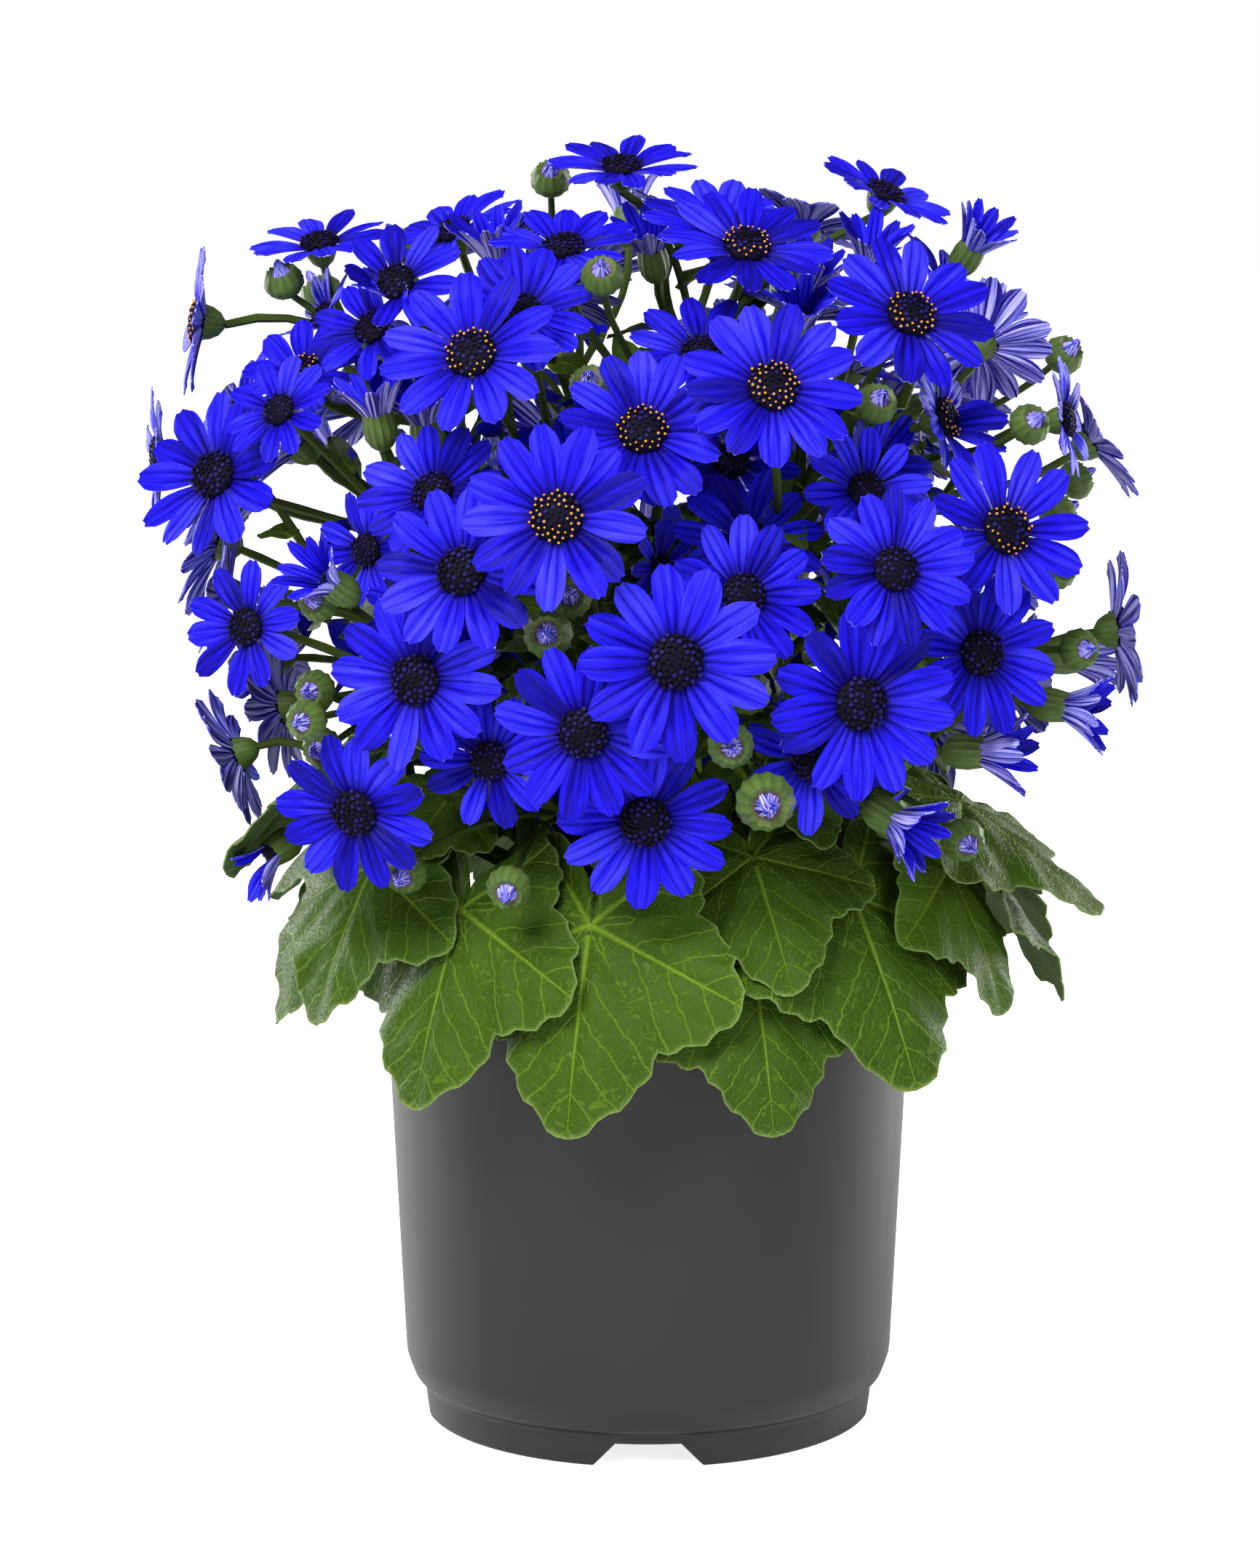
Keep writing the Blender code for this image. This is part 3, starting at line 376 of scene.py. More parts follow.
def default_facing(point):
    """Heads face out of the dome, leaning a little up to the light."""
    return (dome_normal(point) + Vector((0, 0, 0.25))).normalized()


def seen_facing(point):
    """Heads on the seen side turn partly to the front, where the light came from."""
    return (dome_normal(point) + Vector((0, -FRONT_PULL, 0.3))).normalized()


def front_heads():
    """The seen half, each head where the photo shows it."""
    heads = []
    for stage, rows in FRONT_HEADS:
        for across, height, diameter, *facing in rows:
            point = dome_point_seen(across * MM, height * MM)
            pollen = 0.0
            if (across, height) in POLLEN_HEADS:
                pollen = HEAVY_POLLEN if (across, height) in HEAVY_HEADS else LIGHT_POLLEN
            heads.append(
                {
                    "place": point,
                    "facing": toward(*facing) if facing else seen_facing(point),
                    "diameter": diameter * MM,
                    "stage": stage,
                    "pollen": pollen,
                }
            )
    return heads


def back_heads():
    """The unseen half: a spiral from the top of the dome down, kept to the far side."""
    heads = []
    for i in range(BACK_COUNT):
        rise = BACK_HIGHEST - BACK_SPAN * (i + 0.5) / BACK_COUNT
        turn = (i * GOLDEN_ANGLE) % math.pi
        level = math.sqrt(1 - rise * rise)
        point = Vector(
            (
                DOME_RADIUS * level * math.cos(turn),
                DOME_RADIUS * level * math.sin(turn) * BACK_FLATTENING,
                DOME_CENTRE_HEIGHT + dome_half_height(rise) * rise,
            )
        )
        kind = i % len(BACK_STAGES)
        heads.append(
            {
                "place": point,
                "facing": default_facing(point),
                "diameter": BACK_DIAMETERS[kind] * MM,
                "stage": BACK_STAGES[kind],
                "pollen": LIGHT_POLLEN if i % 4 == 0 else 0.0,
            }
        )
    return heads


def reach_of(head):
    """How far this head spreads from its middle, across its facing."""
    return head["diameter"] / 2 * {"open": 0.97, "half": 0.55, "bud": 1.0}[head["stage"]]


def discs_cross(one, other):
    """Whether the rim or the half-way ring of one head comes too near to the other's disc."""
    between = other["place"] - one["place"]
    if between.length > reach_of(one) + reach_of(other):
        return False
    side = one["facing"].orthogonal().normalized()
    up = one["facing"].cross(side)
    reach = reach_of(one)
    for share in (0.0, 0.55, 1.0):
        for i in range(12):
            turn = i * math.tau / 12
            point = one["place"] + share * reach * (math.cos(turn) * side + math.sin(turn) * up)
            offset = point - other["place"]
            along = offset.dot(other["facing"])
            if abs(along) > HEAD_CLEARANCE:
                continue
            if (offset - along * other["facing"]).length < reach_of(other):
                return True
    return False


def settle(heads):
    """Sinks each head into the dome until it clears those before it. One that can't is left out."""
    settled = []
    for head in heads:
        start = head["place"]
        out = dome_normal(start)
        inward = -Vector((out.x, out.y, max(out.z, 0))).normalized()
        for step in range(int(MOST_SINK / SINK_STEP) + 1):
            head["place"] = start + inward * (step * SINK_STEP)
            if not any(discs_cross(head, other) or discs_cross(other, head) for other in settled):
                settled.append(head)
                break
    return settled


def spray_middles():
    """Directions out of the dome's middle, spread evenly by a spiral from the top down."""
    middles = []
    for i in range(SPRAY_COUNT):
        rise = 1 - (1 - SPRAY_LOWEST) * (i + 0.5) / SPRAY_COUNT
        turn = i * GOLDEN_ANGLE
        level = math.sqrt(1 - rise * rise)
        middles.append(Vector((level * math.cos(turn), level * math.sin(turn), rise)))
    return middles


def group_sprays(heads):
    """Gives each head to the spray whose middle is nearest, and drops sprays that got none."""
    middles = spray_middles()
    groups = [[] for _ in middles]
    for head in heads:
        out = head["place"] - Vector((0, 0, DOME_CENTRE_HEIGHT))
        out.z *= DOME_RADIUS / dome_half_height(out.z)
        nearest = max(range(len(middles)), key=lambda i: out.normalized().dot(middles[i]))
        groups[nearest].append(head)
    return [group for group in groups if group]


def arc_ends(start, start_way, end, end_way):
    """The four controls of a smooth arc that leaves start one way and arrives at end the other way."""
    length = (end - start).length
    return start, start + start_way * length * 0.4, end - end_way * length * 0.4, end


def arc_point(ends, t):
    """The point at this share of an arc with four controls."""
    s = 1 - t
    return s**3 * ends[0] + 3 * s * s * t * ends[1] + 3 * s * t * t * ends[2] + t**3 * ends[3]


def arc_points(ends, steps):
    return [arc_point(ends, i / steps) for i in range(steps + 1)]


def main_stem_radius(height):
    """The main stem tapers from the soil to its top."""
    share = (height - SOIL_TOP) / (MAIN_STEM_TOP - SOIL_TOP)
    return MAIN_STEM_LOW_RADIUS + share * (MAIN_STEM_TOP_RADIUS - MAIN_STEM_LOW_RADIUS)


def spray_route(group, sideways):
    """The stem of a spray: from the main stem out to the fork."""
    middle = sum((head["place"] for head in group), Vector()) / len(group)
    out = middle - Vector((0, 0, DOME_CENTRE_HEIGHT - 60 * MM))
    flat = Vector((out.x, out.y, 0))
    spread = math.atan2(flat.length, out.z)
    start_height = MAIN_STEM_TOP - 8 * MM - (0.074 * spread / math.pi * 1.7)
    way = flat.normalized() if flat.length > MM else Vector((1, 0, 0))
    way = Matrix.Rotation(sideways, 3, "Z") @ way
    start = way * (main_stem_radius(start_height) + 3 * TOUCH_GAP + SPRAY_STEM_RADIUS * 0.4)
    start.z = start_height
    crown = Vector((0, 0, start_height))
    fork = crown + (middle - crown) * FORK_SHARE
    leave = (way + Vector((0, 0, 0.9 * max(0.1, math.cos(spread))))).normalized()
    arrive = (middle - fork).normalized()
    return arc_ends(start, leave, fork, arrive)


def stalk_route(head, number, stem, bend):
    """The stalk of one head: from inside the spray's stem to the neck of its cup."""
    fork = stem[3]
    stem_way = (fork - arc_point(stem, 0.5)).normalized()
    depth = {"open": CUP_DEPTH, "half": HALF_CUP_DEPTH, "bud": head["diameter"] * 0.2}[head["stage"]]
    neck = head["place"] - head["facing"] * depth
    start = fork - stem_way * (1.5 + FORK_SPACING * number) * MM
    twist = Matrix.Rotation(bend[0], 3, stem_way) @ stem_way.orthogonal()
    arrive = (head["facing"] + twist * bend[1]).normalized()
    return arc_ends(start, stem_way, neck, arrive)


def tree_of(node):
    """The solid of one node, to be asked which way its pieces were bent."""
    mesh = frame["nodes"][node].data
    points = [vert.co.copy() for vert in mesh.vertices]
    return BVHTree.FromPolygons(points, [list(face.vertices) for face in mesh.polygons])


def gap_to(tree, point):
    """How far this point is from the solid."""
    return tree.find_nearest(point)[3]


def nearest_route(routes, tree):
    """The route whose middle lies in the solid's tube, which has its one bend there."""
    return min(routes, key=lambda route: gap_to(tree, arc_point(route, 0.5)))


def head_shape(head):
    """The sizes of a head's solid."""
    half = head["stage"] == "half"
    radius = head["diameter"] / 2
    disc = 2 * radius * (HALF_DISC_SHARE if half else DISC_SHARE)
    count = OPEN_PETALS if head["diameter"] > SMALL_DIAMETER else SMALL_PETALS
    if half:
        count = HALF_PETALS
    lift = HALF_LIFT if half else OPEN_LIFT
    length = radius if half else radius - disc
    return {"disc": disc, "count": count, "lift": lift, "length": length}


def stand_at(place, way):
    """Moves an upright shape from the origin to this place and turns its top this way."""
    return Matrix.Translation(place) @ way.to_track_quat("Z", "Y").to_matrix().to_4x4()


def head_matrix(head):
    return stand_at(head["place"], head["facing"])


def level_way(turn):
    return Vector((math.cos(turn), math.sin(turn), 0))


def petal_lifts(head, tree):
    """The turn and the lift of each petal that this head's solid has."""
    shape = head_shape(head)
    matrix = head_matrix(head)
    lifts = []
    for i in range(shape["count"]):
        turn = math.pi / 2 - (i + 0.5) * math.tau / shape["count"]
        outward = level_way(turn)
        root = outward * shape["disc"] * math.cos(math.pi / shape["count"])
        found = []
        for change in LIFT_CHOICES:
            lift = shape["lift"] + math.radians(change)
            if head["stage"] == "half":
                lift = min(lift, STEEPEST_LIFT)
            way = outward * math.cos(lift) + Vector((0, 0, math.sin(lift)))
            tip = matrix @ (root + way * shape["length"])
            found.append((gap_to(tree, tip), lift))
        gap, lift = min(found)
        if gap < ON_SOLID:
            lifts.append((turn, lift))
    return lifts


def lift_at(lifts, turn):
    """The lift of the solid's petals nearest to this turn, or none where the solid has a hole."""
    if not lifts:
        return None
    near = sorted((abs(math.remainder(turn - other, math.tau)), lift) for other, lift in lifts)
    if near[0][0] > HOLE_TURN:
        return None
    if len(near) == 1:
        return near[0][1]
    (gap_one, one), (gap_two, two) = near[:2]
    share = gap_one / max(gap_one + gap_two, 1e-6)
    return one * (1 - share) + two * share if gap_two < BLEND_TURN else one


def clear_startup():
    """Takes away what a new file holds, so that only the plant and its stage are left."""
    for item in list(bpy.data.objects):
        if item.name in ("Cube", "Light", "Camera"):
            bpy.data.objects.remove(item, do_unlink=True)


def finish_piece(name, bm, materials, node, smooth_degrees=60):
    """Makes a piece from a bmesh that already holds its place, puts it on the body and hides its node's
    solid.
    """
    mesh = bpy.data.meshes.new(name)
    bm.to_mesh(mesh)
    bm.free()
    for material in materials:
        mesh.materials.append(material)
    piece = bpy.data.objects.new(name, mesh)
    bpy.context.scene.collection.objects.link(piece)
    mesh.shade_smooth()
    mesh.set_sharp_from_angle(angle=math.radians(smooth_degrees))
    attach(piece, BODY)
    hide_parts(node)
    return piece


class Maker:
    """A small hand for joining shader nodes."""

    def __init__(self, tree):
        self.tree = tree

    def add(self, kind, links=None, **values):
        node = self.tree.nodes.new(kind)
        for key, value in values.items():
            setattr(node, key, value)
        for socket, source in (links or {}).items():
            if isinstance(source, bpy.types.NodeSocket):
                self.tree.links.new(source, node.inputs[socket])
            else:
                node.inputs[socket].default_value = source
        return node

    def maths(self, operation, first, second=0.0, clamp=False):
        node = self.add("ShaderNodeMath", {0: first, 1: second}, operation=operation, use_clamp=clamp)
        return node.outputs[0]

    def mix(self, factor, first, second, blend="MIX"):
        node = self.add("ShaderNodeMix", data_type="RGBA", blend_type=blend)
        for index, source in ((0, factor), (6, first), (7, second)):
            if isinstance(source, bpy.types.NodeSocket):
                self.tree.links.new(source, node.inputs[index])
            elif index:
                node.inputs[index].default_value = (*source[:3], 1)
            else:
                node.inputs[index].default_value = source
        return node.outputs[2]

    def scaled(self, value, factor):
        return self.maths("MULTIPLY", value, factor)

    def apart(self, first, second):
        """How far one value is from another."""
        return self.maths("ABSOLUTE", self.maths("SUBTRACT", first, second))

    def fade(self, value, width):
        """One where the value is nothing, falling to nothing at this width."""
        return self.maths("SUBTRACT", 1.0, self.maths("DIVIDE", value, width), clamp=True)

    def lay(self, mask, strength, below, above):
        """Lays one colour over another where the mask is, at this strength."""
        return self.mix(self.scaled(mask, strength), below, above)

    def ramp(self, factor, stops):
        node = self.add("ShaderNodeValToRGB", {0: factor})
        marks = node.color_ramp.elements
        marks[0].position = stops[0][0]
        marks[0].color = (*stops[0][1], 1)
        marks[1].position = stops[-1][0]
        marks[1].color = (*stops[-1][1], 1)
        for place, colour in stops[1:-1]:
            mark = marks.new(place)
            mark.color = (*colour, 1)
        return node.outputs[0]


def join_grain(maker, given):
    """Fine grain: a soft mottling and a fine roughness from the position on the piece."""
    made = {}
    for output, scale, detail in (("Mottle", "Mottle Scale", 3.0), ("Grain", "Grain Scale", 2.0)):
        values = {"Vector": given["Vector"], "Scale": given[scale], "Detail": detail}
        made[output] = maker.add("ShaderNodeTexNoise", values).outputs["Fac"]
    return made


def join_streaks(maker, given):
    """Noise drawn out along a petal, shifted by the petal's own tone."""
    drawn = maker.add(
        "ShaderNodeVectorMath", {0: given["Map"], 1: given["Stretch"]}, operation="MULTIPLY"
    )
    tone = given["Tone"]
    shift = maker.add("ShaderNodeCombineXYZ", {0: tone, 1: tone, 2: maker.scaled(tone, 37.0)})
    moved = maker.add(
        "ShaderNodeVectorMath", {0: drawn.outputs[0], 1: shift.outputs[0]}, operation="ADD"
    )
    values = {"Vector": moved.outputs[0], "Scale": 1.0, "Detail": 3.0}
    pattern = maker.add("ShaderNodeTexNoise", values)
    return {"Streaks": pattern.outputs["Fac"]}


def join_veins(maker, given):
    """Veins from the blade's root into each lobe, side veins, and a fine net between them."""
    parts = maker.add("ShaderNodeSeparateXYZ", {0: given["Map"]})
    turn = maker.scaled(maker.maths("SUBTRACT", parts.outputs["X"], 0.5), math.tau)
    reach = parts.outputs["Y"]
    lobes = maker.maths("DIVIDE", turn, LOBE_STEP)
    own = maker.scaled(maker.maths("SUBTRACT", lobes, maker.maths("ROUND", lobes)), LOBE_STEP)
    aside = maker.scaled(reach, maker.maths("ABSOLUTE", maker.maths("SINE", own)))
    ahead = maker.scaled(reach, maker.maths("COSINE", own))
    main = maker.fade(aside, maker.scaled(maker.maths("SUBTRACT", 1.15, reach), given["Main Width"]))
    wander = maker.add("ShaderNodeTexNoise", {"Vector": given["Map"], "Scale": 9.0, "Detail": 2.0})
    shifted = maker.maths("ADD", ahead, maker.scaled(wander.outputs["Fac"], 0.10))
    slanted = maker.maths("SUBTRACT", shifted, maker.scaled(aside, 1.15))
    side = maker.fade(maker.apart(maker.maths("FRACT", maker.scaled(slanted, 5.5)), 0.5), 0.065)
    right = maker.scaled(reach, maker.maths("SINE", turn))
    front = maker.scaled(reach, maker.maths("COSINE", turn))
    flat = maker.add("ShaderNodeCombineXYZ", {0: right, 1: front})
    net = maker.add(
        "ShaderNodeTexVoronoi",
        {"Vector": flat.outputs[0], "Scale": given["Net Scale"]},
        feature="DISTANCE_TO_EDGE",
    )
    return {
        "Veins": maker.maths("MAXIMUM", main, maker.scaled(side, 0.60)),
        "Net": maker.fade(net.outputs["Distance"], 0.09),
    }


SHARED_GROUPS = {
    "fine_grain": (
        join_grain,
        {"Vector": "Vector", "Mottle Scale": "Float", "Grain Scale": "Float"},
        ("Mottle", "Grain"),
    ),
    "petal_streaks": (
        join_streaks,
        {"Map": "Vector", "Tone": "Float", "Stretch": "Vector"},
        ("Streaks",),
    ),
    "leaf_veins": (
        join_veins,
        {"Map": "Vector", "Main Width": "Float", "Net Scale": "Float"},
        ("Veins", "Net"),
    ),
}


def place_group(maker, name, values):
    """Places a shared node group with these values. The first time, the group is made."""
    if name not in bpy.data.node_groups:
        join, inputs, outputs = SHARED_GROUPS[name]
        group = bpy.data.node_groups.new(name, "ShaderNodeTree")
        for socket, kind in inputs.items():
            group.interface.new_socket(name=socket, in_out="INPUT", socket_type=f"NodeSocket{kind}")
        for socket in outputs:
            group.interface.new_socket(name=socket, in_out="OUTPUT", socket_type="NodeSocketFloat")
        inside = Maker(group)
        inside.add("NodeGroupOutput", join(inside, inside.add("NodeGroupInput").outputs))
    return maker.add("ShaderNodeGroup", values, node_tree=bpy.data.node_groups[name]).outputs


def times(colour, factor):
    """The colour made lighter or darker by this factor."""
    return tuple(part * factor for part in colour)


def new_material(name, roughness, specular):
    """A new material with its maker and its shader."""
    material = bpy.data.materials.new(name)
    material.use_nodes = True
    shader = material.node_tree.nodes["Principled BSDF"]
    shader.inputs["Roughness"].default_value = roughness
    shader.inputs["Specular IOR Level"].default_value = specular
    return material, Maker(material.node_tree), shader


def grain_of(maker, mottle_scale, grain_scale):
    """The shared grain on the piece's own coordinates."""
    place = maker.add("ShaderNodeTexCoord").outputs["Object"]
    values = {"Vector": place, "Mottle Scale": mottle_scale, "Grain Scale": grain_scale}
    made = place_group(maker, "fine_grain", values)
    return made["Mottle"], made["Grain"]


def dress(maker, shader, colour, height, strength, distance):
    """Gives the shader its colour and its bump."""
    maker.tree.links.new(colour, shader.inputs["Base Color"])
    bump = maker.add("ShaderNodeBump", {"Height": height, "Strength": strength, "Distance": distance})
    maker.tree.links.new(bump.outputs["Normal"], shader.inputs["Normal"])


def carried(maker, name):
    """A value that each point of the piece carries, such as the tone of its petal, leaf or stalk."""
    return maker.add("ShaderNodeAttribute", attribute_name=name).outputs["Fac"]


def along_and_across(maker):
    """The piece's own map: first across the shape, then along it."""
    place = maker.add("ShaderNodeUVMap", uv_map="UVMap")
    parts = maker.add("ShaderNodeSeparateXYZ", {0: place.outputs["UV"]})
    return place.outputs["UV"], parts.outputs["X"], parts.outputs["Y"]


def streaks(maker, uv, across, along):
    """The shared streaks, this fine across and along the petal."""
    values = {"Map": uv, "Tone": carried(maker, "tone"), "Stretch": (across, along, 1)}
    return place_group(maker, "petal_streaks", values)["Streaks"]


def petal_face_material(settings):
    """Streaks from deep to bright blue, with painted shade in two grooves and at the root."""
    material, maker, shader = new_material("petal_blue", 0.50, 0.09)
    uv, across, along = along_and_across(maker)
    broad = streaks(maker, uv, 5.0, 0.9)
    fine = streaks(maker, uv, 26.0, 1.6)
    both = maker.maths("ADD", maker.scaled(broad, 0.6), maker.scaled(fine, 0.4))
    own = maker.scaled(maker.maths("SUBTRACT", carried(maker, "tone"), 0.5), 0.35)
    deep = tuple(settings.deep)
    bright = tuple(settings.bright)
    glow = (bright[0] + 0.035, bright[1] + 0.036, bright[2] * 1.3)
    lit = maker.ramp(maker.maths("ADD", both, own), ((0.30, deep), (0.50, bright), (0.78, glow)))
    # Painted shade: deep blue laid into the two grooves, where the petal's folds lie in shade.
    aside = maker.apart(maker.scaled(across, 2.0), 1.0)
    groove = maker.fade(maker.apart(aside, 0.34), 0.17)
    groove_shade_laid = maker.lay(groove, 0.75, lit, deep)
    # Painted shade at the root: darkest where the petal tucks under the disc, and gone by four tenths of
    # its length.
    root_shade_laid = maker.lay(maker.fade(along, 0.42), 0.90, groove_shade_laid, (0.006, 0.002, 0.12))
    ridges = maker.maths("SUBTRACT", fine, maker.scaled(groove, 0.8))
    dress(maker, shader, root_shade_laid, ridges, 0.6, 0.35 * MM)
    return material


def petal_back_material(settings):
    """Pale streaks on blue, inside a blue edge."""
    material, maker, shader = new_material("petal_pale_back", 0.6, 0.15)
    uv, across, _ = along_and_across(maker)
    fine = streaks(maker, uv, 8.0, 0.5)
    back = tuple(settings.back)
    colour = maker.ramp(fine, ((0.40, (0.010, 0.006, 0.16)), (0.48, back), (0.60, (0.44, 0.43, 0.90))))
    edge = maker.maths("GREATER_THAN", maker.apart(across, 0.5), 0.44)
    edged = maker.lay(edge, 0.7, colour, (0.02, 0.012, 0.45))
    dress(maker, shader, edged, fine, 0.4, 0.25 * MM)
    return material


def plain_grained_material(name, colour, other, roughness, mottle_scale, grain_scale, bump):
    """A material that wanders between two colours, with a fine bump."""
    material, maker, shader = new_material(name, roughness, 0.12)
    mottle, grain = grain_of(maker, mottle_scale, grain_scale)
    dress(maker, shader, maker.mix(mottle, colour, other), grain, 0.5, bump)
    return material


def cup_material(settings):
    """Ribbed green with darker ribs and small brown tips."""
    material, maker, shader = new_material("cup_green", 0.55, 0.35)
    _, across, along = along_and_across(maker)
    mottle, grain = grain_of(maker, 260.0, 1800.0)
    rib = maker.maths("ABSOLUTE", maker.maths("SINE", maker.scaled(across, 14 * math.pi)))
    ribbed = maker.mix(rib, times(settings.cup, 0.42), times(settings.cup, 1.25))
    mottled = maker.lay(mottle, 0.5, ribbed, (0.16, 0.28, 0.06))
    tip = maker.maths("GREATER_THAN", along, 0.93)
    colour = maker.lay(tip, 0.7, mottled, (0.09, 0.035, 0.03))
    dress(maker, shader, colour, grain, 0.5, 0.15 * MM)
    return material


def leaf_material(settings, name, underside):
    """Mottled green blade with pale veins. The underside is paler and its veins stand out."""
    material, maker, shader = new_material(name, 0.65 if underside else 0.55, 0.14)
    uv = maker.add("ShaderNodeUVMap", uv_map="UVMap").outputs["UV"]
    values = {"Map": uv, "Main Width": 0.030 if underside else 0.020, "Net Scale": 26.0}
    pattern = place_group(maker, "leaf_veins", values)
    mottle, grain = grain_of(maker, 60.0, 900.0)
    blade = maker.mix(carried(maker, "tone"), tuple(settings.green), tuple(settings.grey))
    mottled = maker.lay(mottle, 0.55, blade, times(settings.green, 0.55))
    netted = maker.lay(pattern["Net"], 0.20, mottled, tuple(settings.vein))
    veined = maker.lay(pattern["Veins"], 0.68, netted, tuple(settings.vein))
    rim = maker.maths("POWER", carried(maker, "rim"), 5.0)
    colour = maker.lay(rim, 0.7, veined, (0.20, 0.30, 0.08))
    if underside:
        colour = maker.mix(0.45, colour, (0.13, 0.20, 0.085))
    dip = maker.maths("ADD", pattern["Veins"], maker.scaled(pattern["Net"], 0.45))
    relief = maker.scaled(dip, 1.0 if underside else -1.0)
    height = maker.maths("ADD", relief, maker.scaled(grain, 0.30))
    dress(maker, shader, colour, height, 0.7, 0.7 * MM)
    return material


def pot_material(settings):
    """Dark satin plastic with a faint moulding grain and upright scuffs that change its gloss."""
    material, maker, shader = new_material("pot_plastic", 0.42, 0.4)
    mottle, grain = grain_of(maker, 22.0, 1400.0)
    colour = maker.mix(mottle, times(settings.plastic, 0.85), times(settings.plastic, 1.2))
    place = maker.add("ShaderNodeTexCoord").outputs["Object"]
    scuffs = maker.add("ShaderNodeMapping", {"Vector": place, "Scale": (60, 60, 6)})
    marks = maker.add("ShaderNodeTexNoise", {"Vector": scuffs.outputs[0], "Scale": 1.0, "Detail": 5.0})
    rough = maker.maths("ADD", 0.34, maker.scaled(marks.outputs["Fac"], 0.16))
    maker.tree.links.new(rough, shader.inputs["Roughness"])
    dress(maker, shader, colour, grain, 0.25, 0.06 * MM)
    return material


def soil_material(settings):
    """Damp potting mix: dark crumbs with paler ones among them."""
    material, maker, shader = new_material("potting_mix", 0.95, 0.2)
    mottle, grain = grain_of(maker, 160.0, 1100.0)
    dark = tuple(settings.soil)
    stops = ((0.35, times(dark, 0.45)), (0.52, dark), (0.70, (0.10, 0.062, 0.036)))
    dress(maker, shader, maker.ramp(mottle, stops), grain, 0.9, 0.8 * MM)
    return material


PETAL, BACK, DISC, FLORET, POLLEN, CUP, STEM, BLADE, UNDERSIDE = range(9)
SHARED_FINISHES = (
    "petal_blue",
    "petal_pale_back",
    "disc_navy",
    "floret_violet",
    "pollen_orange",
    "cup_green",
    "stem_green",
    "leaf_blade",
    "leaf_underside",
)


def flower_materials():
    """The finishes that all leaves and sprays share, made once, in the order of their slots."""
    if SHARED_FINISHES[0] not in bpy.data.materials:
        settings = bpy.context.scene.cineraria_flowers
        leaves = bpy.context.scene.cineraria_leaves
        petal_face_material(settings)
        petal_back_material(settings)
        cup_material(settings)
        leaf_material(leaves, "leaf_blade", False)
        leaf_material(leaves, "leaf_underside", True)
        pollen = tuple(settings.pollen)
        stem = tuple(leaves.stem)
        for name, one, other, roughness, mottle_scale, grain_scale, bump in (
            ("disc_navy", (0.0012, 0.0006, 0.005), (0.003, 0.0015, 0.014), 0.75, 700.0, 2600.0, 0.2),
            ("floret_violet", (0.004, 0.002, 0.035), (0.016, 0.010, 0.15), 0.65, 900.0, 2600.0, 0.1),
            ("pollen_orange", pollen, times(pollen, 0.55), 0.7, 900.0, 3000.0, 0.1),
            ("stem_green", times(stem, 0.72), times(stem, 1.35), 0.55, 120.0, 1500.0, 0.15),
        ):
            plain_grained_material(name, one, other, roughness, mottle_scale, grain_scale, bump * MM)
    return [bpy.data.materials[name] for name in SHARED_FINISHES]


def start_bmesh():
    """An empty bmesh with the piece's own map, and with a tone and a rim for each point."""
    bm = bmesh.new()
    bm.loops.layers.uv.new("UVMap")
    bm.verts.layers.float.new("tone")
    bm.verts.layers.float.new("rim")
    return bm


def layers_of(bm):
    return bm.loops.layers.uv["UVMap"], bm.verts.layers.float["tone"]


def faces_of(verts):
    """The faces that touch these points."""
    return {face for vert in verts for face in vert.link_faces}


def paint(verts, slot):
    """Gives a new shape its finish."""
    for face in faces_of(verts):
        face.material_index = slot


def push_end(bm, end, first):
    """Extrudes the end of a growing shape. The first time, its start stays behind as the other end."""
    if first:
        pushed = bmesh.ops.extrude_face_region(bm, geom=[end])["geom"]
        return next(part for part in pushed if isinstance(part, bmesh.types.BMFace))
    return bmesh.ops.extrude_discrete_faces(bm, faces=[end])["faces"][0]


def tube(bm, points, radii, sides, material, tone):
    """A closed tube through the points, made ring by ring by extruding its end."""
    uv, tones = layers_of(bm)
    ways = [(b - a).normalized() for a, b in zip(points, points[1:])]
    ways.append(ways[-1])
    made = bmesh.ops.create_circle(bm, cap_ends=True, segments=sides, radius=1)["verts"]
    turned = ways[0].to_track_quat("Z", "Y").to_matrix()
    for vert in made:
        vert.co = points[0] + turned @ vert.co * radii[0]
    end = made[0].link_faces[0]
    end.normal_update()
    if end.normal.dot(ways[0]) < 0:
        end.normal_flip()
    faces = [end]
    for i in range(1, len(points)):
        bisector = (ways[i - 1] + ways[i]).normalized()
        before = ways[0] if i == 1 else (ways[i - 2] + ways[i - 1]).normalized()
        roll = before.rotation_difference(bisector).to_matrix()
        end = push_end(bm, end, i == 1)
        for vert in end.verts:
            offset = roll @ (vert.co - points[i - 1])
            vert.co = points[i] + offset * (radii[i] / radii[i - 1])
            faces += list(vert.link_faces)
    own = {face for face in faces if face.is_valid}
    for face in own:
        face.material_index = material
        for loop in face.loops:
            loop[uv].uv = (0.5, 0.5)
            loop.vert[tones] = tone
    bmesh.ops.recalc_face_normals(bm, faces=list(own))


def petal_outline(across, along):
    """Where a point of the flat grid goes: narrow at the root, with a rounded, notched tip."""
    if along < BROADEST:
        broad = 0.36 + 0.64 * math.sin(math.pi / 2 * along / BROADEST)
    else:
        broad = 1 - 0.18 * ((along - BROADEST) / (1 - BROADEST)) ** 2
    teeth = 0.034 * along**7 * (1 + math.cos(3 * math.pi * across)) / 2
    run = along - 0.15 * along**4 * abs(across) ** 3 - teeth
    return across * broad, run


